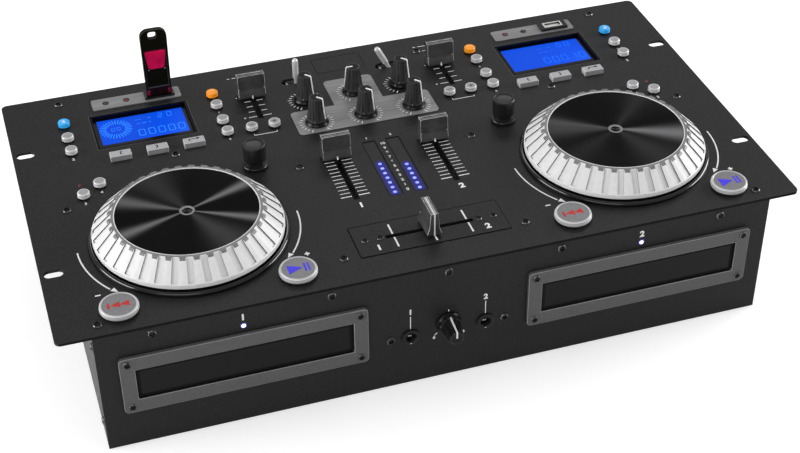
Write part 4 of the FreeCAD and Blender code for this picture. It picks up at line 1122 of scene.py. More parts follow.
# ---- Case, panels and fasteners ----
@dataclass
class Casework:
    """The folded case, the front plate, the control panel and their screws."""

    screw_radius: float = 3.0
    screw_height: float = 1.3
    panel_screws: tuple[Pair, ...] = (
        (-202.3, 255.4), (202.3, 255.4), (-215.0, 128.6), (215.0, 128.6), (-214.7, 10.0),
        (214.7, 10.0), (-136.0, 169.0), (136.0, 169.0), (-60.5, 128.0), (60.5, 128.0),
        (-60.0, 24.8), (60.0, 24.8), (59.8, 245.3))
    plate_screws: tuple[Pair, ...] = ((-42.7, 37.3), (-32.8, 37.3), (32.8, 37.3), (42.7, 37.3))
    front_screws: tuple[Pair, ...] = (
        (0.0, 84.4), (-75.0, 84.4), (75.0, 84.4), (-185.0, 84.4), (185.0, 84.4),
        (-38.0, 38.1), (38.0, 38.1))
    side_screws: tuple[Pair, ...] = ((9.0, 75.9), (9.0, 15.9), (252.0, 75.9), (252.0, 15.9),
                                     (130.0, 75.9))
    rear_screws: tuple[Pair, ...] = ((-210.0, 80.0), (210.0, 80.0), (-210.0, 10.0),
                                     (210.0, 10.0), (0.0, 80.0))

    def plates(self) -> None:
        """The case, the front and the control panel, with eased edges."""
        for name, node, ease, finish, slot in (
                ("folded_case", "case_shell", 0.5, CASE_PAINT, "case_paint"),
                ("front_plate", "front_panel", 0.3, FRONT_PAINT, "front_paint"),
                ("control_panel", "top_panel", 0.3, PANEL_PAINT, "panel_paint")):
            plate = Bench.paint(Bench.from_node(name, node, ease), finish)
            if node == "top_panel":
                # Painted shade: the panel's front edge face in black, as the shade under its edge.
                Bench.paint_where(plate, DARK_INK_AND_SHADE, lambda c, n: n.y < -0.9
                                  and c.y < -HALF_DEPTH + 1.0)
            Bench.smooth(plate)
            Bench.fit(plate, slot=slot, nodes=[node])

    def screw(self) -> Thing:
        """One button-headed screw with a cross recess and painted glints on its outer slope.

        Returns:
            The pattern, at the origin.
        """
        r, h = self.screw_radius, self.screw_height
        head = Bench.turned("screw", [(r * 0.98, -0.3), (r, 0.1), (r * 0.93, h * 0.5),
                                      (r * 0.72, h * 0.86), (r * 0.45, h), (0.2, h)], 20)
        for turn in (0, 90):
            cutter = Bench.bar("cutter", (r * 1.1, r * 0.28, 2.0), (0, 0, h - 0.75))
            Bench.moved(cutter, Matrix.Rotation(math.radians(turn + 25), 4, "Z"))
            Bench.cut(head, cutter)
        Bench.paint(head, SCREW_BLACK)
        # Painted glints: the outer slope of the head in a lighter metal than the black head.
        Bench.paint_where(head, SCREW_GLINT, lambda c, n: 0.12 < n.z < 0.86
                          and math.hypot(c.x, c.y) > r * 0.7)
        Bench.smooth(head, 35)
        return head

    def fasteners(self) -> None:
        """All the visible screws, in one piece for each face."""
        pattern = self.screw()
        bezel = [(side * TRAY_X + end * 72.2, TRAY_Z + row * 16.8)
                 for side in (-1, 1) for end in (-1, 1) for row in (-1, 1)]
        sets = {
            "panel_screws": [on_panel(x, y, 0, 17 * i) for i, (x, y)
                             in enumerate(self.panel_screws)]
            + [on_panel(x, y, 0.5, 31 * i) @ spread((0.8, 0.8, 0.7)) for i, (x, y)
               in enumerate(self.plate_screws)],
            "front_screws": [on_front(x, z, 0, 23 * i) for i, (x, z)
                             in enumerate(self.front_screws)],
            "bezel_screws": [on_front(x, z, 2.6, 37 * i) @ spread((0.9, 0.9, 0.8))
                             for i, (x, z) in enumerate(bezel)],
            "side_screws": [on_side(side, y, z) for side in (-1, 1)
                            for y, z in self.side_screws],
            "rear_screws": [on_rear(x, z) for x, z in self.rear_screws],
        }
        for name, places in sets.items():
            keep = Bench.copied(pattern, Matrix())
            Bench.fit(Bench.repeated(name, keep, places))
        Bench.drop(pattern)

    def seams(self) -> None:
        """The joint lines of the front's returns down both sides of the case."""
        lines = Ink("side_seams", DARK_INK_AND_SHADE, lambda x, y, lift, turn: (
            on_side(int(math.copysign(1, x)), abs(x), y)
            @ Matrix.Translation((0, 0, lift * MM)) @ Matrix.Rotation(
                math.radians(turn), 4, "Z")))
        for side in (-1, 1):
            lines.put(lines.dash, side * 17.0, 44.4, 0.0, (84.0, 0.4, 0.03))
        lines.piece(slot="case_paint")

    def build(self) -> None:
        """Makes the casework."""
        self.plates()
        self.fasteners()
        self.seams()


# ---- Decks ----
@dataclass
class JogDeck:
    """A jog wheel on its base, and the two large buttons beside it."""

    deck: Deck
    y: float = 80.0
    rim_radius: float = 48.5
    top: float = 18.5
    pitch_angle: float = 10.0
    transport_y: float = 19.7
    transport_offset: float = 54.9

    @property
    def x(self) -> float:
        """The wheel's middle."""
        return self.deck.side * 145.2

    def base(self) -> Thing:
        """The glossy ring under the wheel, with a rolled edge and a gutter.

        Returns:
            The ring.
        """
        ring = Bench.hoop(f"jog_base_ring_{self.deck.number}", [
            (4.1, 0.0), (63.6, 0.0), (63.6, 1.5), (63.3, 2.3), (62.7, 2.8), (62.0, 3.0),
            (61.4, 2.9), (61.0, 2.4), (60.4, 1.9), (57.0, 1.9), (55.0, 3.0), (4.1, 3.0)], 128)
        Bench.moved(ring, on_panel(self.x, self.y))
        return Bench.fit(Bench.dress(ring, GLOSS_BLACK, 40), slot="gloss_black")

    def skirt(self) -> None:
        """The silver wheel with its grips, and painted shade on the walls in the grips."""
        name = f"jog_wheel_{self.deck.number}"
        wheel = Bench.paint(Bench.from_node(f"jog_skirt_{self.deck.number}", name, 0.12, 1),
                            JOG_SILVER_AND_HIGHLIGHT)
        middle = on_panel(self.x, self.y).translation / MM

        def around(centre: Vector) -> tuple[Vector, Vector]:
            """The outward and the sideways direction at a face."""
            out = Vector((centre.x - middle.x, centre.y - middle.y, 0.0)).normalized()
            return out, Vector((-out.y, out.x, 0.0))

        def is_wall(centre: Vector, normal: Vector) -> bool:
            """Whether a face is a side or the lower end of a grip.

            Args:
                centre: The face's centre.
                normal: Its normal.

            Returns:
                True for such a face.
            """
            out, across = around(centre)
            height = centre.z - PANEL_TOP
            if not 7.0 < height < self.top - 0.2:
                return False
            slope = (out + Vector((0, 0, 1))).normalized()
            uphill = (Vector((0, 0, 1)) - out).normalized()
            flat = abs(normal.dot(slope)) < 0.6
            return flat and (abs(normal.dot(across)) > 0.6 or normal.dot(uphill) > 0.6)

        # Painted shade: the grips' side walls and lower ends in a dark grey.
        Bench.paint_where(wheel, JOG_SHADOW, is_wall)
        # Painted shade: the rim's flat top in a darker grey than the silver skirt.
        Bench.paint_where(wheel, JOG_RIM_SHADE, lambda c, n: n.z > 0.95
                          and c.z > PANEL_TOP + self.top - 0.5)
        Bench.smooth(wheel, 4)
        Bench.fit(wheel, name, "jog_silver", [name])

    def tabs(self) -> None:
        """Small tabs that step down from the rim between the grips, painted grey as shade like the
        rim.
        """
        tab = Bench.bar("tab", (3.4, 1.9, 0.5), (0, 0, -0.3), 0.08)
        lean = Matrix.Rotation(math.radians(-44.3), 4, "X")
        along = Matrix.Translation(Vector((0.0, -(self.rim_radius + 0.55), 0.0)) * MM)
        lift = Matrix.Translation(Vector((0.0, 0.0, self.top - 0.42)) * MM)
        places = [on_panel(self.x, self.y, 0.0, (k + 0.5) * self.pitch_angle + 90.0)
                  @ lift @ along @ lean.inverted() for k in range(36)]
        tabs = Bench.repeated(f"jog_tabs_{self.deck.number}", tab, places)
        Bench.fit(Bench.paint(tabs, JOG_RIM_SHADE), f"jog_wheel_{self.deck.number}", "jog_silver")

    def rings(self) -> None:
        """A fine bright edge round the disc, and the band rolled over at the wheel's foot."""
        edge = [(45.2, 18.0), (45.75, 18.0), (45.75, 18.62), (45.55, 18.72), (45.3, 18.66),
                (45.2, 18.5)]
        band = [(59.6, 4.1), (60.4, 4.1), (60.5, 4.3), (60.5, 6.5), (60.3, 6.95),
                (59.9, 7.15), (59.4, 7.2), (59.3, 6.4)]
        for name, profile, sides, angle in (("jog_disc_edge", edge, 120, 50),
                                            ("jog_band", band, 144, 40)):
            ring = Bench.hoop(f"{name}_{self.deck.number}", profile, sides)
            Bench.dress(Bench.moved(ring, on_panel(self.x, self.y)), JOG_SILVER_AND_HIGHLIGHT, angle)
            Bench.fit(ring, f"jog_wheel_{self.deck.number}", "jog_silver")

    def sign(self, kind: str, x: float) -> None:
        """A large button's print: an arrowhead and two bars, or a bar and two arrowheads.

        Args:
            kind: The button's kind.
            x: Its middle.
        """
        y, is_play = self.transport_y, kind == "play_button"
        sign = Ink(f"{kind.split('_')[0]}_sign_{self.deck.number}",
                   VIOLET_INK if is_play else RED_INK, on_panel, 4.2)
        if is_play:
            sign.wedge(x - 3.4, y, 6.2, 0.0, 0.83)
            for shift in (4.3, 6.6):
                sign.line(x + shift, y - 3.9, x + shift, y + 3.9, 1.2)
        else:
            sign.line(x - 6.2, y - 2.7, x - 6.2, y + 2.7, 1.4)
            for shift in (-1.2, 4.4):
                sign.wedge(x + shift, y, 3.9, 180.0, 0.8)
        sign.piece(f"{kind}_{self.deck.number}", "button_silver")

    def buttons(self) -> None:
        """The start and cue buttons with their printed signs, a painted highlight round each top
        and painted shade on each stem.
        """
        number = self.deck.number
        for kind, step in (("cue_button", -1), ("play_button", 1)):
            x = self.x + step * self.transport_offset
            cap = Bench.turned("cap", [
                (5.5, -4.8), (5.6, 1.1), (11.4, 1.1), (11.9, 1.35), (12.0, 1.7), (12.0, 2.7),
                (11.75, 2.9), (11.7, 3.1), (11.75, 3.9), (11.5, 4.35), (11.2, 4.55),
                (10.9, 4.6), (10.6, 4.5), (10.3, 4.25), (10.0, 4.2), (0.4, 4.2)], 72)
            cap.name = f"{kind}_cap_{number}"
            Bench.moved(cap, on_panel(x, self.transport_y))
            Bench.paint(cap, KEY_SILVER)
            Bench.paint_where(cap, CAP_FACE, lambda c, n: n.z > 0.9
                              and 4.1 < c.z - PANEL_TOP < 4.3)
            # Painted highlight: a thin bright ring of the wheel's silver on the cap's upper
            # chamfer.
            Bench.paint_where(cap, JOG_SILVER_AND_HIGHLIGHT, lambda c, n: 0.2 < n.z < 0.8
                              and c.z > PANEL_TOP + 3.9
                              and math.hypot(c.x - x, c.y + HALF_DEPTH - self.transport_y) > 11.3)
            # Painted shade: the stem below the cap in black, as the shade under it.
            Bench.paint_where(cap, BLACK_PLASTIC_AND_SHADE, lambda c, n: c.z < PANEL_TOP + STEM_TOP)
            Bench.smooth(cap, 28)
            Bench.fit(cap, f"{kind}_{number}", "button_silver", [f"{kind}_{number}"])
            self.sign(kind, x)

    def prints(self, ink: Ink) -> None:
        """The direction arcs with their arrowheads, the deck's number and small signs.

        Args:
            ink: The panel's print.
        """
        for end in (-1, 1):
            start, finish = ((180.0, 216.0) if end < 0 else (-36.0, 0.0))
            ink.arc(self.x, 82.0, 70.4, start, finish, 0.95)
            tip = math.radians(218.2 if end < 0 else -38.2)
            ink.wedge(self.x + 69.6 * math.cos(tip), 82.0 + 69.6 * math.sin(tip), 3.2,
                      -50.0 if end < 0 else 230.0, 0.66)
        ink.number(self.deck.number, self.x - 0.6, 147.5, 6.0)
        ink.number("−", self.x - 65.0, 36.6, 6.0)
        ink.number("+", self.x + 65.0, 36.6, 6.0)

    def build(self, disc: Thing) -> None:
        """Makes the deck's wheel, base and large buttons.

        Args:
            disc: The turned disc, modelled once for both wheels.
        """
        number = self.deck.number
        self.base()
        self.skirt()
        self.tabs()
        self.rings()
        plate = Bench.copied(disc, on_panel(self.x, self.y))
        plate.name = plate.data.name = f"jog_disc_{number}"
        middle = on_panel(self.x, self.y).translation
        fans = JOG_PAINTED_HIGHLIGHTS[self.deck]
        finish = TurnedFinish(f"turned_black_{number}", (0.0022, 0.0022, 0.0024), 0.4,
                              specular=0.06, grain=0.03, centre=tuple(middle), fans=fans)
        Bench.paint(plate, finish)
        Bench.smooth(plate, 60)
        Bench.fit(plate, f"jog_wheel_{number}", "jog_silver")
        self.buttons()


# Each deck's painted highlight fans: direction, narrowness and brightness.
JOG_PAINTED_HIGHLIGHTS = {
    Deck.LEFT: ((22.0, 260.0, 0.62), (197.0, 200.0, 0.55), (-27.4, 320.0, 0.6),
                (150.0, 110.0, 0.42), (298.0, 26.0, 0.16), (112.0, 20.0, 0.10)),
    Deck.RIGHT: ((160.0, 26.0, 0.20), (150.0, 200.0, 0.14), (335.0, 60.0, 0.66),
                 (45.0, 60.0, 0.06), (292.0, 14.0, 0.10), (208.0, 30.0, 0.04)),
}


def turned_disc() -> Thing:
    """The wheel's sunk disc: fine rings, a raised collar and a dimple in the middle.

    Returns:
        The pattern, at the origin.
    """
    profile = [(45.1, 17.9), (45.1, 18.2)]
    radius, pitch = 44.9, 0.72
    while radius > 6.2:
        profile += [(radius, 18.22), (radius - pitch / 2, 18.28)]
        radius -= pitch
    profile += [(5.7, 18.2), (5.3, 18.3), (5.0, 18.3), (4.6, 17.85), (3.4, 17.75),
                (3.0, 18.1), (2.6, 18.2), (1.0, 18.2), (0.3, 18.2)]
    return Bench.turned("disc", profile, 112)


@dataclass
class DisplayBlock:
    """A backlit display in its window, with the lamps in the strip and the socket behind it."""

    deck: Deck
    y: float = DISPLAY_Y
    glass: Pair = (66.0, 39.8)
    sink: float = 2.9
    lit: Pair = (60.2, 30.4)
    lit_shift: Pair = (0.1, 2.5)
    digits: str = "00000"
    track: str = "20"

    @property
    def x(self) -> float:
        """The display's middle."""
        return self.deck.side * DISPLAY_X

    def window(self) -> None:
        """A black well down to the module's glass, with the lit pane at its foot."""
        number = self.deck.number
        wide, deep = self.glass
        well = Bench.bar(f"display_well_{number}", (wide + 0.36, deep + 0.36, self.sink),
                         (0, 0, -self.sink))
        hollow = Bench.bar("hollow", (wide - 0.5, deep - 0.5, self.sink + 1.0),
                           (0, 0, -self.sink - 0.5))
        Bench.cut(well, hollow)
        Bench.moved(well, on_panel(self.x, self.y))
        Bench.fit(Bench.paint(well, WINDOW_FRAME), slot="lcd_frame")
        glass = Bench.bar(f"display_glass_{number}", (wide, deep, 0.3),
                          (0, 0, -self.sink - 0.3), 0.05)
        Bench.moved(glass, on_panel(self.x, self.y))
        Bench.paint(glass, WINDOW_FRAME)
        nodes = ["display_windows"] if self.deck is Deck.LEFT else []
        Bench.fit(glass, slot="window_glass", nodes=nodes)
        pane = Bench.bar(f"lit_pane_{number}", (*self.lit, 0.04),
                         (*self.lit_shift, -self.sink))
        Bench.moved(pane, on_panel(self.x, self.y))
        corner = on_panel(self.x + 30.0, self.y - 14.0).translation
        Bench.paint(pane, LitPane(f"backlight_{number}", (0.001, 0.077, 0.78), 0.5,
                                  specular=0.1, glow_strength=0.85, corner=tuple(corner),
                                  edge_colour=(0.015, 0.13, 0.95)))
        Bench.fit(pane, slot="lcd_frame")

    def segments(self, ink: Ink, text: str, x: float, y: float, height: float,
                 pitch: float) -> None:
        """Seven-bar numbers in a row from the left.

        Args:
            ink: The display's print.
            text: The numbers.
            x, y: Middle of the first.
            height: Height of each.
            pitch: Step from one to the next.
        """
        bars = {"a": (0, 1, 0), "g": (0, 0, 0), "d": (0, -1, 0), "b": (1, 0.5, 1),
                "c": (1, -0.5, 1), "e": (-1, -0.5, 1), "f": (-1, 0.5, 1)}
        lit = {"0": "abcdef", "1": "bc", "2": "abged", "3": "abgcd", "4": "fgbc",
               "5": "afgcd", "6": "afgedc", "7": "abc", "8": "abcdefg", "9": "abcdfg"}
        half = height / 2
        for index, digit in enumerate(text):
            cx = x + index * pitch
            for bar in lit[digit]:
                across, up, upright = bars[bar]
                bx, by = cx + across * half * 0.56, y + up * half
                reach = half * (0.42 if upright else 0.44)
                dx, dy = (0.0, reach) if upright else (reach, 0.0)
                ink.line(bx - dx, by - dy, bx + dx, by + dy, height * 0.075)

    def readout(self) -> None:
        """The ring of bars, the track number, the time and small flags."""
        number = self.deck.number
        is_left = self.deck is Deck.LEFT
        ink = Ink(f"display_bars_{number}", SEGMENT_BLUE if is_left else SEGMENT_FAINT,
                  on_panel, 0.05 - self.sink)
        if is_left:
            cx, cy = self.x - 18.4, self.y + 4.4
            for k in range(30):
                a = 2 * math.pi * k / 30
                ink.line(cx + 6.6 * math.cos(a), cy + 6.6 * math.sin(a),
                         cx + 11.3 * math.cos(a), cy + 11.3 * math.sin(a), 0.55)
            self.segments(ink, "00", cx - 1.9, cy, 3.8, 3.8)
        self.segments(ink, self.track, self.x + 14.0, self.y + 12.6, 5.2, 6.4)
        self.segments(ink, self.digits, self.x - 1.6, self.y - 5.0, 7.4, 6.9)
        for dx, dy, length in ((-3.6, 11.6, 1.2), (-1.2, 11.6, 1.2), (5.0, 12.2, 2.4),
                               (-3.4, 6.4, 2.2), (0.0, 6.6, 3.2), (5.0, 6.8, 1.6)):
            ink.line(self.x + dx, self.y + dy, self.x + dx + length, self.y + dy, 0.45)
        ink.piece(slot="lcd_frame")

    def strip_lamps(self) -> None:
        """The two lamps in the strip with their dark collars."""
        collar = Bench.hoop("collar", [(1.5, 0.7), (2.3, 0.7), (2.25, 0.95), (1.6, 0.95)], 28)
        spots = [on_panel(self.x - 20.2, 245.9), on_panel(self.x - 5.6, 245.9)]
        collars = Bench.repeated(f"strip_collars_{self.deck.number}", collar, spots)
        Bench.fit(Bench.paint(collars, BLACK_PLASTIC_AND_SHADE))
        lit = 1 if self.deck is Deck.LEFT else 0
        for index, spot in enumerate(spots):
            lamp = Bench.turned(f"strip_lamp_{self.deck.number}_{index + 1}", [
                (1.4, 0.5), (1.45, 0.85), (1.1, 1.15), (0.5, 1.3), (0.1, 1.3)], 20)
            Bench.smooth(Bench.moved(lamp, spot), 60)
            Bench.fit(Bench.paint(lamp, LED_RED if index == lit else LED_DARK))

    def socket(self) -> None:
        """The plated shell of the memory stick socket, with a tongue and a lip where it is free."""
        x, y = self.x + 17.8, 246.2
        liner = Bench.bar(f"socket_liner_{self.deck.number}", (12.58, 5.08, 3.0),
                          (0, 0, -0.35))
        cutter = Bench.bar("cutter", (12.2, 4.7, 6.0), (0, 0, -1.0))
        Bench.cut(liner, cutter)
        Bench.moved(liner, on_panel(x, y))
        Bench.fit(Bench.paint(liner, SOCKET_METAL), slot="socket_metal")
        if self.deck is Deck.RIGHT:
            tongue = Bench.bar("socket_tongue", (11.2, 1.7, 9.0), (0, 0.7, -7.4), 0.2)
            Bench.fit(Bench.paint(Bench.moved(tongue, on_panel(x, y)), PHONO_WHITE),
                      slot="socket_black")
            lip = Bench.bar("socket_lip", (14.2, 6.7, 0.25), (0, 0, 2.5), 0.1)
            Bench.cut(lip, Bench.bar("cutter", (12.2, 4.7, 2.0), (0, 0, 2.0)))
            Bench.moved(lip, on_panel(x, y))
            Bench.fit(Bench.paint(lip, SOCKET_LIP), slot="socket_metal")

    def build(self) -> None:
        """Makes the display and its strip."""
        self.window()
        self.readout()
        self.strip_lamps()
        self.socket()


@dataclass
class ButtonBank:
    """The small round buttons and the loop keys of both decks."""

    key_x: float = 146.5
    key_y: float = 177.4
    key_pitch: float = 25.1
    key_steps: dict[str, int] = field(default_factory=lambda: {
        "loop_in": -1, "loop_out": 0, "loop_exit": 1})
    kinds: dict[str, tuple[float, float, float]] = field(default_factory=lambda: {
        "eject": (-202.4, 202.4, 226.6), "continue": (-202.4, 202.4, 208.6),
        "program": (-202.4, 202.4, 192.3), "jog_mode": (-190.4, 190.4, 149.1),
        "scratch": (-202.4, 202.4, 139.6), "source": (-96.9, 96.9, 232.0),
        "single": (-96.9, 96.9, 217.4), "time": (-96.9, 96.9, 197.4),
        "repeat": (-96.9, 96.9, 182.6), "bend_down": (-79.9, 63.9, 182.3),
        "bend_up": (-63.9, 79.9, 182.3)})

    def round_buttons(self) -> None:
        """Each kind of round button, one cap on each deck, with painted shade on the stems."""
        for kind, (left, right, y) in self.kinds.items():
            cap = Bench.turned("cap", [
                (2.4, -4.8), (2.5, 1.1), (3.95, 1.1), (4.15, 1.25), (4.15, 2.05),
                (3.95, 2.2), (3.95, 2.4), (4.1, 2.6), (4.1, 3.7), (3.95, 4.0), (3.6, 4.3),
                (3.35, 4.4), (3.1, 4.3), (1.6, 4.16), (0.3, 4.16)], 40)
            pair = Bench.repeated(f"{kind}_caps", cap, [on_panel(left, y), on_panel(right, y)])
            finish, slot = {"eject": (BUTTON_BLUE, "button_blue"),
                            "source": (BUTTON_ORANGE, "button_orange")}.get(
                                kind, (BUTTON_SILVER, "button_silver"))
            Bench.paint(pair, finish)
            if finish is BUTTON_SILVER:
                Bench.paint_where(pair, BUTTON_FACE, lambda c, n: n.z > 0.95
                                  and c.z > PANEL_TOP + 4.0)
            # Painted shade: the stems below the caps in black, as the shade under them.
            Bench.paint_where(pair, BLACK_PLASTIC_AND_SHADE, lambda c, n: c.z < PANEL_TOP + STEM_TOP)
            Bench.smooth(pair, 32)
            Bench.fit(pair, f"{kind}_buttons", slot, [f"{kind}_buttons"])

    def signs(self) -> None:
        """Signs on the eject and bend buttons."""
        left, right, y = self.kinds["eject"]
        eject = Ink("eject_signs", WHITE_INK, on_panel, 4.19)
        for x in (left, right):
            eject.wedge(x, y + 0.3, 1.3, 90.0)
            eject.line(x - 1.3, y - 1.2, x + 1.3, y - 1.2, 0.55)
        eject.piece("eject_buttons", "button_blue")
        for kind in ("bend_down", "bend_up"):
            left, right, y = self.kinds[kind]
            sign = Ink(f"{kind}_signs", DARK_INK_AND_SHADE, on_panel, 4.13)
            for x in (left, right):
                sign.line(x - 1.7, y, x + 1.7, y, 0.55)
                if kind == "bend_up":
                    sign.line(x, y - 1.7, x, y + 1.7, 0.55)
            sign.piece(f"{kind}_buttons", "button_silver")

    def keys(self) -> None:
        """The loop keys with eased edges, a grained face and painted shade on their fronts."""
        for kind in ("loop_in", "loop_out", "loop_exit"):
            node = f"{kind}_keys"
            keys = Bench.paint(Bench.from_node(f"{kind}_key_caps", node, 0.55, 3),
                               BUTTON_SILVER)
            Bench.paint_where(keys, KEY_FACE, lambda c, n: n.z > 0.95)
            # Painted shade: the keys' front faces in a darker grey than their sides.
            Bench.paint_where(keys, BUTTON_FACE, lambda c, n: n.y < -0.9)
            Bench.smooth(keys, 40)
            Bench.fit(keys, node, "button_silver", [node])
            self.key_marks(kind, node)

    def key_marks(self, kind: str, node: str) -> None:
        """A bracket on the first two keys, and a turned-back line on the third.

        Args:
            kind: The keys' kind.
            node: Their node.
        """
        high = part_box(node)[1]
        sign = Ink(f"{kind}_marks", DARK_INK_AND_SHADE, on_panel, high.z / MM - PANEL_TOP + 0.01)
        for side in (-1, 1):
            x = side * self.key_x + self.key_steps[kind] * self.key_pitch
            if kind == "loop_exit":
                sign.line(x - 3.2, self.key_y + 1.1, x + 2.0, self.key_y + 1.1, 0.6)
                sign.line(x - 3.2, self.key_y - 1.1, x - 3.2, self.key_y + 1.1, 0.6)
                sign.wedge(x + 2.8, self.key_y + 1.1, 1.4, 0.0)
            else:
                hand = -1 if kind == "loop_in" else 1
                for row in (-1, 1):
                    sign.line(x, self.key_y + row * 1.4, x - 1.3 * hand,
                              self.key_y + row * 1.4, 0.6)
                sign.line(x, self.key_y - 1.4, x, self.key_y + 1.4, 0.6)
        sign.piece(node, "button_silver")

    def lamps(self) -> None:
        """The small red lamps above the scratch buttons."""
        for deck in Deck:
            lamp = Bench.turned(f"scratch_lamp_{deck.number}", [
                (1.0, -0.2), (1.05, 0.1), (0.85, 0.4), (0.4, 0.6), (0.1, 0.6)], 20)
            Bench.smooth(Bench.moved(lamp, on_panel(deck.side * 203.0, 153.5)), 60)
            Bench.fit(Bench.paint(lamp, LED_RED))

    def build(self) -> None:
        """Makes the buttons, keys and lamps."""
        self.round_buttons()
        self.signs()
        self.keys()
        self.lamps()


# ---- Mixer ----
@dataclass
class Knobs:
    """The rotary knobs, with ribbed grips and white pointers, and the selectors."""

    spots: dict[str, tuple[float, float, float]] = field(default_factory=lambda: {
        "tone_knob_1": (-35.3, 206.5, -45.0), "gain_knob_1": (-35.3, 176.1, -45.0),
        "mic_knob": (0.0, 206.5, 180.0), "master_knob": (0.0, 176.1, -45.0),
        "tone_knob_2": (35.3, 206.5, -45.0), "gain_knob_2": (35.3, 176.1, -45.0)})
    ribs: int = 18
    height: float = 21.2
    front_height: float = 17.2
    pointer_width: float = 1.0

    def grip(self, height: float) -> Thing:
        """A flared knob whose upper part is ribbed.

        Args:
            height: The knob's height.

        Returns:
            The pattern, at the origin.
        """
        rise = height / self.height
        knob = Bench.turned("knob", [
            (6.6, 0.9), (8.1, 0.9), (8.25, 1.1), (8.2, 1.6), (7.75, 2.2), (7.3, 3.0),
            (7.0, 4.0), (6.8, 5.2), (6.55, 6.6 * rise), (6.2, 9.0 * rise),
            (5.65, 13.0 * rise), (4.9, height - 0.9), (4.7, height - 0.3),
            (4.4, height), (4.1, height - 0.12), (0.4, height - 0.12)],
            self.ribs * 3)
        Bench.unmark(knob)
        for vertex in knob.data.vertices:
            angle = math.degrees(math.atan2(vertex.co.y, vertex.co.x)) % 360
            step = round(angle / (120 / self.ribs))
            height_here = vertex.co.z / MM
            vertex.select = step % 3 == 0 and 5.0 < height_here < height - 0.1
        Bench.enter(knob, "VERT")
        bpy.ops.transform.resize(value=(0.9, 0.9, 1.0), center_override=(0, 0, 0))
        Bench.close()
        Bench.smooth(knob, 20)
        return knob

    def pointer(self, height: float) -> Thing:
        """A white line over the top and down the grip, bent from one strip.

        Args:
            height: The knob's height.

        Returns:
            The pattern, at the origin.
        """
        path = [(0.4, height + 0.04), (4.4, height + 0.04), (4.85, height - 0.25),
                (5.1, height - 1.0), (5.85, height * 0.62), (6.5, height * 0.38),
                (6.9, height * 0.26)]
        Bench.clear()
        bpy.ops.mesh.primitive_plane_add(size=1.0)
        strip = bpy.context.object
        strip.scale = (0.1 * MM, self.pointer_width * MM, 1.0)
        strip.location = ((path[0][0] - 0.05) * MM, 0.0, path[0][1] * MM)
        strip = Bench.started("pointer")
        Bench.unmark(strip)
        for edge in strip.data.edges:
            ends = [strip.data.vertices[i].co.x for i in edge.vertices]
            edge.select = min(ends) > (path[0][0] - 0.01) * MM
        for vertex in strip.data.vertices:
            vertex.select = vertex.co.x > (path[0][0] - 0.01) * MM
        Bench.enter(strip, "EDGE")
        for (r1, z1), (r2, z2) in zip(path, path[1:]):
            Bench.extrude((r2 - r1, 0.0, z2 - z1))
        Bench.mend()
        Bench.close()
        Bench.modify(strip, "SOLIDIFY", thickness=0.5 * MM, offset=0.0)
        return strip

    def knobs(self) -> None:
        """All the rotary knobs and the pointers on them."""
        grip, pointer = self.grip(self.height), self.pointer(self.height)
        for node, (x, y, turn) in self.spots.items():
            self.one(node, grip, pointer, on_panel(x, y, 0.0, turn))
        Bench.drop(grip, pointer)
        grip, pointer = self.grip(self.front_height), self.pointer(self.front_height)
        self.one("cue_knob", grip, pointer, on_front(0.0, CUE_Z, 0.0, 90.0))
        Bench.drop(grip, pointer)

    def one(self, node: str, grip: Thing, pointer: Thing, place: Matrix) -> None:
        """One knob and its pointer in place of a node.

        Args:
            node: The node.
            grip: The knob's pattern.
            pointer: The pointer's pattern.
            place: Where they go.
        """
        is_front = node == "cue_knob"
        body = Bench.paint(Bench.copied(grip, place), SELECTOR_BLACK if is_front else KNOB_BLACK)
        up = place.to_3x3() @ Vector((0.0, 0.0, 1.0))
        Bench.paint_where(body, KNOB_TOP, lambda c, n: n.dot(up) > 0.97
                          and (c * MM - place.translation).dot(up) > 0.012)
        Bench.paint_where(body, KNOB_FOOT, lambda c, n: (
            c * MM - place.translation).dot(up) < 0.0042)
        body.name = body.data.name = f"{node}_grip"
        Bench.smooth(body, 20)
        Bench.fit(body, node, "knob_black", [node])
        line = Bench.paint(Bench.copied(pointer, place), WHITE_INK)
        line.name = line.data.name = f"{node}_pointer"
        Bench.fit(line, node, "knob_black")

    def selectors(self) -> None:
        """The two selectors: a flanged foot, a waist and a dished top."""
        for deck in Deck:
            node = f"selector_{deck.number}"
            knob = Bench.turned(f"{node}_knob", [
                (6.0, 0.8), (8.3, 0.8), (8.6, 1.0), (8.6, 1.9), (8.3, 2.35), (7.4, 2.6),
                (6.6, 2.9), (6.4, 3.6), (6.4, 4.8), (6.9, 5.4), (7.3, 5.75), (7.45, 6.3),
                (7.6, 15.9), (7.65, 16.7), (7.45, 17.3), (7.1, 17.6), (6.6, 17.6),
                (6.2, 17.3), (5.6, 17.0), (4.0, 16.85), (0.4, 16.8)], 56)
            Bench.moved(knob, on_panel(deck.side * 88.1, 139.3))
            Bench.fit(Bench.dress(knob, SELECTOR_BLACK, 30), node, "knob_black", [node])

    def dials(self, panel: Ink, overlay: Ink) -> None:
        """The ring of lines round each knob.

        Args:
            panel: Print on the panel, for the tone knobs.
            overlay: Print on the overlay, for the others.
        """
        for node, (x, y, _) in self.spots.items():
            ink = panel if node.startswith("tone") else overlay
            for k in range(21):
                a = math.radians(240.0 - 15.0 * k)
                far = 12.7 if k % 5 == 0 else 12.1
                ink.line(x + 9.9 * math.cos(a), y + 9.9 * math.sin(a),
                         x + far * math.cos(a), y + far * math.sin(a), 0.55)

    def build(self) -> None:
        """Makes the knobs and selectors."""
        self.knobs()
        self.selectors()


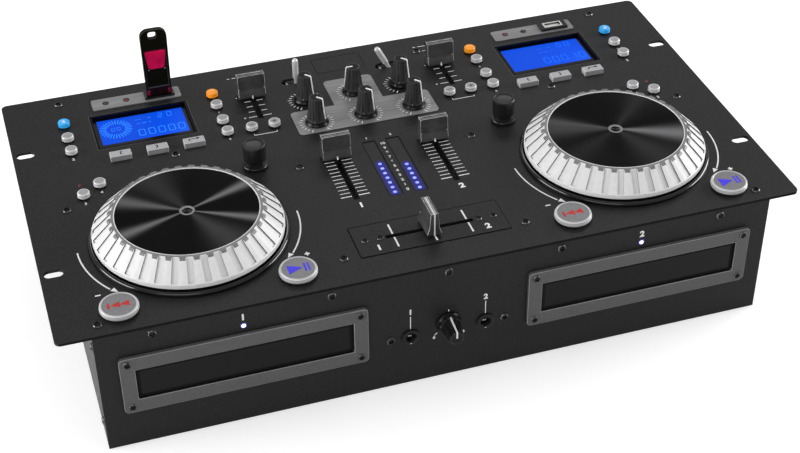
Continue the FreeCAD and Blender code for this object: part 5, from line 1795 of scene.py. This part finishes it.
@dataclass
class Faders:
    """The pitch, channel and cross faders."""

    pitch_x: float = 70.4
    pitch_y: float = 224.1
    channel_x: float = 34.4
    channel_y: float = 110.2

    def cap(self, node: str, cross: bool = False) -> None:
        """One cap with hollowed faces and painted highlights on its rims in place of a node.

        Args:
            node: The node.
            cross: Whether it slides from side to side.
        """
        cap = Bench.from_node(f"{node}_cap", node)
        low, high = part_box(node)
        middle = (low + high) / 2
        Bench.unmark(cap)
        for face in cap.data.polygons:
            up = face.center.z > (PANEL_TOP + 7.5) * MM
            lies = face.normal.x if cross else face.normal.y
            face.select = up and abs(lies) > 0.9
        Bench.enter(cap, "FACE")
        bpy.ops.mesh.inset(thickness=0.95 * MM, depth=-0.4 * MM, use_individual=True)
        Bench.close()
        Bench.paint(cap, CAP_BLACK)
        # Painted highlight: the rounded edges in a light grey, except near the foot.
        Bench.soften(cap, 0.3, 1, 24, CAP_EDGE_HIGHLIGHT)
        for face in cap.data.polygons:
            if face.center.z < (PANEL_TOP + 3.0) * MM:
                face.material_index = 0
        Bench.smooth(cap, 30)
        Bench.fit(cap, node, "cap_black", [node])
        line = Ink(f"{node}_line", WHITE_INK, lambda x, y, lift, turn: (
            Matrix.Translation(Vector((middle.x, middle.y, (PANEL_TOP + lift) * MM)))
            @ Matrix.Translation(Vector((x, y, 0)) * MM)
            @ Matrix.Rotation(math.radians(turn), 4, "Z")))
        top = (high.z / MM) - PANEL_TOP
        marks = [(-4.83, (1.0, 0.14, 1.9), 1.5), (-5.4, (0.9, 1.2, 0.3), 1.45)]
        if cross:
            marks = [(0, (0.9, 19.0, 0.12), top - 0.55), (-9.86, (0.85, 0.14, top - 2.4), 2.0)]
        for y, size, height in marks:
            line.put(line.dash, 0, y, 0, size)
            line.marks[-1].data.transform(Matrix.Translation((0, 0, height * MM)))
        line.piece(node, "cap_black")

    def scales(self, ink: Ink) -> None:
        """The lines beside each slot.

        Args:
            ink: The panel's print.
        """
        for deck in Deck:
            x = deck.side * self.channel_x
            for k in range(13):
                y = 86.0 + 4.1 * k
                reach = 9.8 if k == 0 else 9.3
                for hand in (-1, 1):
                    ink.line(x + hand * 2.4, y, x + hand * reach, y, 0.75 if k == 0 else 0.5)
            x = deck.side * self.pitch_x
            for k in range(9):
                y = 197.3 + 6.7 * k
                reach = 8.2 if k in (0, 4, 8) else 6.6
                for hand in (-1, 1):
                    ink.line(x + hand * 2.2, y, x + hand * reach, y, 0.5)
            ink.line(x - 11.6, 251.0, x - 9.8, 251.0, 0.6)
            ink.line(x - 11.3, self.pitch_y, x - 10.5, self.pitch_y, 0.8)
            ink.line(x - 11.6, 197.3, x - 10.2, 197.3, 0.6)
            ink.line(x - 10.9, 196.6, x - 10.9, 198.0, 0.6)
            ink.number(deck.number, deck.side * self.channel_x + 0.8, 75.0, 7.0)

    def slot_liners(self) -> None:
        """Painted shade: dark edges round the slots, windows and plates, which make them read as
        deep.
        """
        edge = Ink("slot_edge_shade", DARK_INK_AND_SHADE, on_panel)
        for side in (-1, 1):
            edge.frame_of(side * self.pitch_x, self.pitch_y, 3.5, 60.0, 0.5)
            edge.frame_of(side * self.channel_x, self.channel_y, 3.7, 56.6, 0.6)
            edge.frame_of(side * DISPLAY_X, DISPLAY_Y, 67.4, 41.2, 1.4)
        edge.frame_of(0.0, 37.2, 99.2, 31.2, 0.5)
        edge.line(-49.4, 53.3, 49.4, 53.3, 1.0)
        edge.frame_of(0.0, 247.6, 36.0, 19.3, 0.35)
        for x in (-METER_X, METER_X):
            edge.frame_of(x, 111.0, 9.4, 64.3, 0.35)
        edge.piece(slot="panel_paint")
        lip = Ink("display_lips", BEZEL_GREY, on_panel)
        for side in (-1, 1):
            lip.frame_of(side * DISPLAY_X, DISPLAY_Y, 69.1, 42.9, 0.3)
        lip.piece(slot="panel_paint")

    def build(self) -> None:
        """Makes the fader caps and the painted shade along the slots' edges."""
        for deck in Deck:
            self.cap(f"pitch_fader_{deck.number}")
            self.cap(f"channel_fader_{deck.number}")
        self.cap("crossfader", True)
        self.slot_liners()


@dataclass
class MixerTop:
    """The overlay, the crossfader's plate, the level meter and the toggle switches."""

    meter_x: float = METER_X
    lamp_first: float = 82.4
    lamp_pitch: float = 5.55
    lit: tuple[int, int] = (7, 6)

    def plates(self) -> None:
        """The brushed overlay and strips, and the crossfader's plate."""
        for name, node, finish, slot in (
                ("brushed_overlay", "mixer_overlay", BRUSHED_GREY, "brushed_grey"),
                ("brushed_strips", "label_strips", BRUSHED_GREY, "brushed_grey"),
                ("crossfader_bed", "crossfader_plate", PANEL_PAINT, "panel_paint"),
                ("socket_bodies", "usb_sockets", GLOSS_BLACK, "socket_black")):
            plate = Bench.paint(Bench.from_node(name, node, 0.14, 2), finish)
            Bench.smooth(plate)
            Bench.fit(plate, slot=slot, nodes=[node])

    def meter(self) -> None:
        """The lamps behind the smoked lens, lit from the bottom."""
        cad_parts["level_meter"].data.materials.clear()
        lens = MeterLens("smoked_meter_lens", (0.005, 0.005, 0.0053), 0.5, glow_strength=1.0)
        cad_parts["level_meter"].data.materials.append(lens.material())
        places = [on_panel(side * self.meter_x, self.lamp_first + self.lamp_pitch * k, -0.45)
                  for side, lit in zip((-1, 1), self.lit) for k in range(lit)]
        dot = Bench.turned("dot", [(1.3, 0.0), (1.3, 0.1), (1.0, 0.3), (0.5, 0.38),
                                   (0.1, 0.38)], 20)
        lamps = Bench.repeated("meter_lamps", dot, places)
        Bench.fit(Bench.dress(lamps, METER_DOT, 60), slot="meter_lens")

    def meter_prints(self, fine: Ink) -> None:
        """The scale between the two bars.

        Args:
            fine: The panel's fine print.
        """
        for k in range(11):
            fine.number(str(k), 0.2, self.lamp_first + self.lamp_pitch * k, 3.6)
        for deck in Deck:
            fine.number(deck.number, deck.side * self.meter_x, 147.0, 3.2)

    def toggles(self) -> None:
        """The bat levers, each with a short neck and a long tapered bat."""
        for deck, lean in ((Deck.LEFT, 0.0), (Deck.RIGHT, -28.0)):
            node = f"toggle_{deck.number}"
            lever = Bench.turned(f"{node}_lever", [
                (1.35, -4.0), (1.35, 4.5), (1.95, 4.8), (2.1, 5.6), (2.15, 9.0), (2.2, 12.0),
                (2.2, 18.2), (2.05, 19.3), (1.6, 20.2), (0.9, 20.55), (0.2, 20.6)], 28)
            pin = Bench.bar("pin", (1.6, 5.2, 1.6), (0, 0, -0.8))
            lever = Bench.joined(f"{node}_lever", [lever, pin])
            tilt = Matrix.Rotation(math.radians(lean), 4, "Y")
            Bench.moved(lever, on_panel(deck.side * 35.1, 234.0, -2.5) @ tilt)
            Bench.fit(Bench.dress(lever, LEVER_NICKEL, 40), node, "toggle_chrome", [node])

    def build(self) -> None:
        """Makes the mixer's plates, meter and switches."""
        self.plates()
        self.meter()
        self.toggles()


# ---- Front, rear, insides and the memory stick ----
@dataclass
class FrontBay:
    """The trays in their bezels, the jack sockets and the deck lamps."""

    tray_x: float = TRAY_X
    tray_z: float = TRAY_Z
    jack_x: float = 25.0
    jack_z: float = 38.5

    def trays(self) -> None:
        """The bezels, with painted shade on their inner walls and painted highlights on their
        edges, and each tray with its glossy door and painted shade round it.
        """
        bezels = Bench.paint(Bench.from_node("bezel_frames", "tray_bezels"), BEZEL_GREY)
        # Painted shade: the bezels' inner walls round each tray opening in black.
        Bench.paint_where(bezels, BLACK_PLASTIC_AND_SHADE, lambda c, n: abs(n.y) < 0.3 and abs(
            abs(c.x) - self.tray_x) < 70.0 and abs(c.z - self.tray_z) < 13.0)
        # Painted highlight: the bezels' rounded edges in a lighter grey.
        Bench.soften(bezels, 0.4, 2, 30, BEZEL_EDGE_HIGHLIGHT)
        Bench.smooth(bezels)
        Bench.fit(bezels, slot="bezel_grey", nodes=["tray_bezels"])
        for deck in Deck:
            node = f"disc_tray_{deck.number}"
            tray = Bench.paint(Bench.from_node(f"{node}_drawer", node, 0.3, 2), TRAY_MATT)
            Bench.paint_where(tray, DOOR_GLOSS, lambda c, n: c.y < -HALF_DEPTH + 3.0)
            Bench.smooth(tray)
            Bench.fit(tray, node, "tray_black", [node])
            # Painted shade: a dark frame round each door, where the gap to the bezel lies in shade.
            edge = Ink(f"door_gap_shade_{deck.number}", DARK_INK_AND_SHADE, on_front, 1.2)
            edge.frame_of(deck.side * self.tray_x, self.tray_z, 132.4, 20.2, 2.0)
            edge.piece(node, "tray_black")

    def jacks(self) -> None:
        """A dark collar, a bright sleeve, a contact spring and a painted glint on the collar's
        lower edge in each jack socket.
        """
        places = [on_front(side * self.jack_x, self.jack_z) for side in (-1, 1)]
        collar = Bench.hoop("collar", [(3.3, 0.2), (5.9, 0.2), (5.9, 0.9), (5.4, 1.3),
                                       (4.2, 1.5), (3.6, 1.35), (3.3, 0.9)], 40)
        collars = Bench.repeated("jack_collars", collar, places)
        Bench.fit(Bench.dress(collars, KNOB_FOOT, 40), slot="socket_black")
        sleeve = Bench.hoop("sleeve", [(2.95, -6.0), (3.2, -6.0), (3.2, -3.4), (2.95, -3.4)],
                            32)
        sleeves = Bench.repeated("jack_sleeves", sleeve, places)
        Bench.fit(Bench.dress(sleeves, SOCKET_METAL, 40), slot="socket_metal")
        # The spring in the bore is a contact in a bright finish for its glint; the stud on the
        # collar's lower edge is a painted glint.
        spring = Bench.bar("spring", (2.6, 0.9, 0.5), (0.2, -1.2, -2.4), 0.15)
        stud = Bench.turned("stud", [(0.75, 1.0), (0.75, 1.3), (0.5, 1.45), (0.1, 1.45)], 12)
        Bench.moved(stud, Matrix.Translation(Vector((0.0, -4.5, 0.0)) * MM))
        contacts = Bench.repeated("jack_contacts_and_glints", Bench.joined("contact", [spring, stud]),
                                  places)
        Bench.fit(Bench.paint(contacts, SOCKET_LIP), slot="socket_metal")

    def lamps(self) -> None:
        """The lamp above each tray, with a painted glow in a ring round it."""
        places = [on_front(side * LAMP_X, 76.0) for side in (-1, 1)]
        dot = Bench.turned("dot", [(1.35, -0.2), (1.4, 0.2), (1.1, 0.65), (0.5, 0.9),
                                   (0.1, 0.9)], 24)
        dots = Bench.repeated("deck_lamps", dot, places)
        Bench.fit(Bench.dress(dots, LED_WHITE, 60))
        # Painted glow: a blue ring round each lamp.
        ring = Bench.hoop("ring", [(1.4, 0.0), (2.1, 0.0), (1.9, 0.2), (1.5, 0.25)], 28)
        rings = Bench.repeated("deck_lamp_halos", ring, places)
        Bench.fit(Bench.paint(rings, LED_HALO))

    def prints(self) -> None:
        """The front's lines and numbers."""
        ink = Ink("front_prints", WHITE_INK, on_front)
        for deck in Deck:
            x = deck.side * self.jack_x
            ink.line(x, 44.7, x, 54.7, 0.55)
            ink.number(deck.number, deck.side * LAMP_X, 82.4, 6.2)
            ink.number(deck.number, x, 58.2, 5.5)
        ink.line(0.3, 52.5, 0.3, 54.2, 0.6)
        for turn in (225.0, -45.0):
            a = math.radians(turn)
            ink.line(10.2 * math.cos(a), CUE_Z + 10.2 * math.sin(a),
                     12.8 * math.cos(a), CUE_Z + 12.8 * math.sin(a), 0.6)
        ink.number("0", -9.3, 33.2, 3.0)
        ink.number("10", 9.6, 33.2, 3.0)
        ink.piece(slot="front_paint")

    def build(self) -> None:
        """Makes the front bay."""
        self.trays()
        self.jacks()
        self.lamps()
        self.prints()


@dataclass
class RearAndInsides:
    """The connectors in the back wall, the power switch and the parts inside."""

    rear_z: float = 44.0

    def connectors(self) -> None:
        """The sockets' bodies with plated phono shells and inlet pins."""
        body = Bench.paint(Bench.from_node("connector_bodies", "rear_connectors", 0.25),
                           BLACK_PLASTIC_AND_SHADE)
        Bench.paint_where(body, SOCKET_METAL, lambda c, n: c.x > 20.0
                          and c.y > HALF_DEPTH + 2.2)
        Bench.smooth(body)
        Bench.fit(body, slot="connector_mix", nodes=["rear_connectors"])
        for x, finish, name in ((40.0, PHONO_WHITE, "phono_collar_left"),
                                (74.0, PHONO_RED, "phono_collar_right")):
            collar = Bench.hoop(name, [(4.2, 2.0), (5.8, 2.0), (5.6, 3.0), (4.3, 3.2)], 32)
            Bench.smooth(Bench.paint(Bench.moved(collar, on_rear(x, self.rear_z)), finish), 40)
            Bench.fit(collar, slot="connector_mix")
        pin = Bench.bar("pin", (1.6, 4.6, 9.0), (0, 0, -12.5), 0.3)
        places = [on_rear(-170.0, self.rear_z) @ Matrix.Translation(Vector((x, y, 0)) * MM)
                  for x, y in ((-6.0, 1.5), (6.0, 1.5), (0.0, -3.0))]
        pins = Bench.repeated("inlet_pins", pin, places)
        Bench.fit(Bench.paint(pins, SOCKET_METAL), slot="connector_mix")
        rocker = Bench.paint(Bench.from_node("power_rocker", "power_switch", 0.3),
                             GLOSS_BLACK)
        Bench.smooth(rocker)
        Bench.fit(rocker, "power_switch", "gloss_black", ["power_switch"])

    def insides(self) -> None:
        """Finishes for the nodes that are seen only through openings."""
        for node, finish in (("disc_loaders", STEEL), ("fader_units", STEEL),
                             ("control_board", BOARD_GREEN), ("power_supply", BOARD_GREEN),
                             ("lcd_modules", BLACK_PLASTIC_AND_SHADE), ("front_sockets", BLACK_PLASTIC_AND_SHADE)):
            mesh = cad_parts[node].data
            mesh.materials.clear()
            mesh.materials.append(finish.material())

    def build(self) -> None:
        """Makes the rear's pieces and finishes the inner ones."""
        self.connectors()
        self.insides()


@dataclass
class MemoryStick:
    """The flat stick that stands in the left deck's socket."""

    x: float = -132.5
    y: float = 246.2
    low: float = 3.0
    front: float = 241.85
    thick: float = 3.2
    width: float = 18.8
    tall: float = 52.6

    def shell(self) -> Thing:
        """A thin body with a rounded head, an eye and a sunk window, on its plug.

        Returns:
            The body, in its place.
        """
        body = Bench.paint(Bench.bar("stick_body", (self.width, self.thick, self.tall)),
                           STICK_BLACK)
        for vertex in body.data.vertices:
            if vertex.co.z < 1.0 * MM:
                vertex.co.x *= 0.94
        Bench.round_off(body, 5.8, 8, lambda c, d: abs(d.y) > 0.9 and c.z > 50.0)
        eye = Bench.bar("eye", (5.6, 12.0, 5.0), (-0.8, 0, self.tall - 6.9))
        Bench.round_off(eye, 1.5, 4, lambda c, d: abs(d.y) > 0.9)
        Bench.cut(body, eye)
        track = Bench.bar("track", (15.2, 1.6, 30.0), (0, -self.thick / 2, 6.6))
        Bench.cut(body, track)
        # Painted highlight: the body's rounded edges in a lighter grey.
        Bench.soften(body, 0.35, 2, 40, STICK_EDGE_HIGHLIGHT)
        Bench.moved(body, Matrix.Translation((0, (self.front + self.thick / 2 - self.y) * MM, 0)))
        plug = Bench.bar("plug", (11.9, 4.4, 11.4), (0, 0, -11.4), 0.2)
        heel = Bench.bar("heel", (17.0, 6.4, 3.6), (0, -1.0, 0.1), 0.5)
        for part in (plug, heel):
            Bench.paint(part, STICK_BLACK)
        stick = Bench.joined("stick_body", [body, plug, heel])
        return Bench.moved(stick, on_panel(self.x, self.y, self.low))

    def build(self) -> None:
        """Makes the body, the slider with its studs and the two red lugs at the foot."""
        body = self.shell()
        Bench.paint_where(body, SOCKET_METAL, lambda c, n: c.z < PANEL_TOP + self.low)
        Bench.paint_where(body, STICK_FOOT, lambda c, n: n.y < -0.9
                          and self.low < c.z - PANEL_TOP < self.low + 5.0)
        Bench.smooth(body, 40)
        Bench.fit(body, "usb_stick", "stick_black", ["usb_stick"])
        slider = Bench.bar("stick_slider", (15.0, 1.1, 14.2))
        for vertex in slider.data.vertices:
            if vertex.co.z < 5.0 * MM:
                vertex.co.x *= 0.74
        Bench.round_off(slider, 1.8, 4, lambda c, d: abs(d.y) > 0.9)
        Bench.soften(slider, 0.2, 2, 50)
        Bench.moved(slider, on_panel(self.x, self.front + 0.5, self.low + 21.4))
        Bench.fit(Bench.dress(slider, STICK_PINK, 40), "usb_stick", "stick_black")
        lug = Bench.bar("lug", (2.8, 1.1, 4.6), (0, 0, 0), 0.5)
        lugs = Bench.repeated("stick_foot_lugs", lug, [
            on_panel(self.x + dx, self.front + 0.5, self.low + 0.3) for dx in (-7.3, 7.3)])
        Bench.fit(Bench.dress(lugs, STICK_RED, 40), "usb_stick", "stick_black")
        stud = Bench.turned("stud", [(0.5, 0.0), (0.5, 0.3), (0.3, 0.45), (0.1, 0.45)], 12)
        places = [on_panel(self.x + dx, self.front + 0.4, self.low + 20.6)
                  @ Matrix.Rotation(math.radians(90), 4, "X") for dx in (-5.6, 5.8)]
        studs = Bench.repeated("stick_studs", stud, places)
        Bench.fit(Bench.paint(studs, CHROME), "usb_stick", "stick_black")


# ---- Studio ----
@dataclass
class Studio:
    """The camera, the floor, the lamps and the white surroundings."""

    camera_place: Triple = (-0.2603, -0.85557, 0.70505)
    camera_turn: Triple = (52.7419, 0.3621, -17.8094)
    lens: float = 72.13
    sensor: float = 36.0
    fill: float = 0.52
    glossy_fill: float = 0.3
    floor_seen: float = 0.44
    floor_mirrored: float = 0.1

    def camera(self) -> None:
        """Sets up the camera."""
        data = bpy.data.cameras.new("camera")
        data.lens, data.sensor_width = self.lens, self.sensor
        data.clip_start, data.clip_end = 0.01, 50.0
        camera = bpy.data.objects.new("camera", data)
        camera.location = self.camera_place
        camera.rotation_euler = [math.radians(a) for a in self.camera_turn]
        bpy.context.scene.collection.objects.link(camera)
        bpy.context.scene.camera = camera

    def surroundings(self) -> None:
        """White to the eye, and a plain grey light for everything else."""
        world = bpy.data.worlds.new("studio")
        bpy.context.scene.world = world
        world.use_nodes = True
        tree = world.node_tree
        glossy, shown = (tree.nodes.new("ShaderNodeBackground") for _ in range(2))
        lights = (tree.nodes["Background"], glossy, shown)
        for light, strength in zip(lights, (self.fill, self.glossy_fill, 1.0)):
            light.inputs["Color"].default_value = (*WHITE, 1.0)
            light.inputs["Strength"].default_value = strength
        path = tree.nodes.new("ShaderNodeLightPath")
        last = lights[0].outputs[0]
        for ray, kind in (("Is Glossy Ray", glossy), ("Is Camera Ray", shown)):
            mix = tree.nodes.new("ShaderNodeMixShader")
            tree.links.new(path.outputs[ray], mix.inputs[0])
            tree.links.new(last, mix.inputs[1])
            tree.links.new(kind.outputs[0], mix.inputs[2])
            last = mix.outputs[0]
        tree.links.new(last, tree.nodes["World Output"].inputs["Surface"])

    def floor(self) -> None:
        """A wide white floor that keeps only the darker part of the shadow."""
        Bench.clear()
        bpy.ops.mesh.primitive_plane_add(size=12.0, location=(0, 0, -0.0004))
        floor = Bench.started("studio_floor")
        desk = NodeDesk("white_floor")
        desk.fix(colour=(0.8, 0.8, 0.8), roughness=0.9, specular=0.1, glow=WHITE)
        path = desk.add("ShaderNodeLightPath")
        seen = desk.maths("MULTIPLY", path.outputs["Is Camera Ray"], self.floor_seen)
        mirrored = desk.maths("MULTIPLY", path.outputs["Is Glossy Ray"], self.floor_mirrored)
        desk.join(desk.maths("ADD", seen, mirrored), desk.shader.inputs["Emission Strength"])
        floor.data.materials.append(desk.material)

    def lamp(self, name: str, place: Triple, aim: Triple, power: float, size: Pair) -> None:
        """One soft rectangular lamp.

        Args:
            name: The lamp's name.
            place: Where it stands, in metres.
            aim: What it points at.
            power: Its power in watts.
            size: Its length and width in metres.
        """
        data = bpy.data.lights.new(name, "AREA")
        data.shape, data.size, data.size_y, data.energy = "RECTANGLE", *size, power
        lamp = bpy.data.objects.new(name, data)
        lamp.location = place
        lamp.rotation_mode = "QUATERNION"
        lamp.rotation_quaternion = (Vector(aim) - Vector(place)).to_track_quat("-Z", "Y")
        bpy.context.scene.collection.objects.link(lamp)

    def build(self) -> None:
        """Sets the scene."""
        view = bpy.context.scene.view_settings
        view.view_transform = "Standard"
        self.surroundings()
        self.floor()
        self.lamp("front_softbox", (-0.9, -1.6, 1.3), (0.0, 0.0, 0.05), 6.0, (1.5, 0.9))
        self.lamp("left_softbox", (-1.55, 0.1, 0.62), (0.0, 0.0, 0.09), 16.0, (1.1, 0.6))
        self.lamp("right_softbox", (1.55, 0.1, 0.62), (0.0, 0.0, 0.09), 18.0, (1.1, 0.6))
        self.lamp("back_softbox", (0.5, 1.6, 1.6), (0.0, 0.0, 0.08), 4.0, (1.2, 0.5))


def prints(decks: Sequence[JogDeck], knobs: Knobs, faders: Faders, mixer: MixerTop,
           bank: ButtonBank) -> None:
    """All the print on the control panel, its strips and its plates.

    Args:
        decks: The decks.
        knobs: The knobs.
        faders: The faders.
        mixer: The mixer's top.
        bank: The small buttons and keys.
    """
    ink = Ink("panel_prints", WHITE_INK, on_panel)
    fine = Ink("panel_fine_prints", FAINT_INK, on_panel)
    overlay = Ink("overlay_prints", WHITE_INK, on_panel, 0.5)
    for deck in decks:
        deck.prints(ink)
    knobs.dials(ink, overlay)
    faders.scales(ink)
    mixer.meter_prints(fine)
    for x in (-24.0, 25.2):
        overlay.line(x, 25.5, x, 35.4, 1.1)
        overlay.line(x, 39.0, x, 49.0, 1.1)
    overlay.line(0.8, 24.0, 0.8, 33.6, 1.1)
    numbered = ("continue", "program", "scratch", "jog_mode", "source", "single", "time",
                "repeat")
    for index, kind in enumerate(numbered):
        left, right, y = bank.kinds[kind]
        for x in (left, right):
            fine.number(str(index + 1), x, y - 7.6, 3.4)
    for deck in Deck:
        overlay.number(deck.number, deck.side * 36.0, 28.0, 7.0)
        x = deck.side * 71.9
        ink.line(x - 8.0, 174.6, x + 8.0, 174.6, 0.5)
        for end in (-8.0, 8.0):
            ink.line(x + end, 174.4, x + end, 176.2, 0.5)
    ink.piece(slot="panel_paint")
    fine.piece(slot="panel_paint")
    overlay.piece(slot="brushed_grey")


def main() -> None:
    """Sets the camera, builds the console assembly by assembly and lights it."""
    logging.basicConfig(level=logging.INFO, format="%(message)s")
    studio = Studio()
    studio.camera()
    decks = [JogDeck(deck) for deck in Deck]
    knobs, faders, mixer = Knobs(), Faders(), MixerTop()
    Casework().build()
    disc = turned_disc()
    for deck in decks:
        deck.build(disc)
    Bench.drop(disc)
    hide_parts("jog_bases")
    DisplayBlock(Deck.LEFT).build()
    DisplayBlock(Deck.RIGHT, digits="00010", track="00").build()
    bank = ButtonBank()
    bank.build()
    knobs.build()
    faders.build()
    mixer.build()
    FrontBay().build()
    RearAndInsides().build()
    MemoryStick().build()
    prints(decks, knobs, faders, mixer, bank)
    studio.build()
    Bench.clear()


if __name__ == "__main__":
    main()
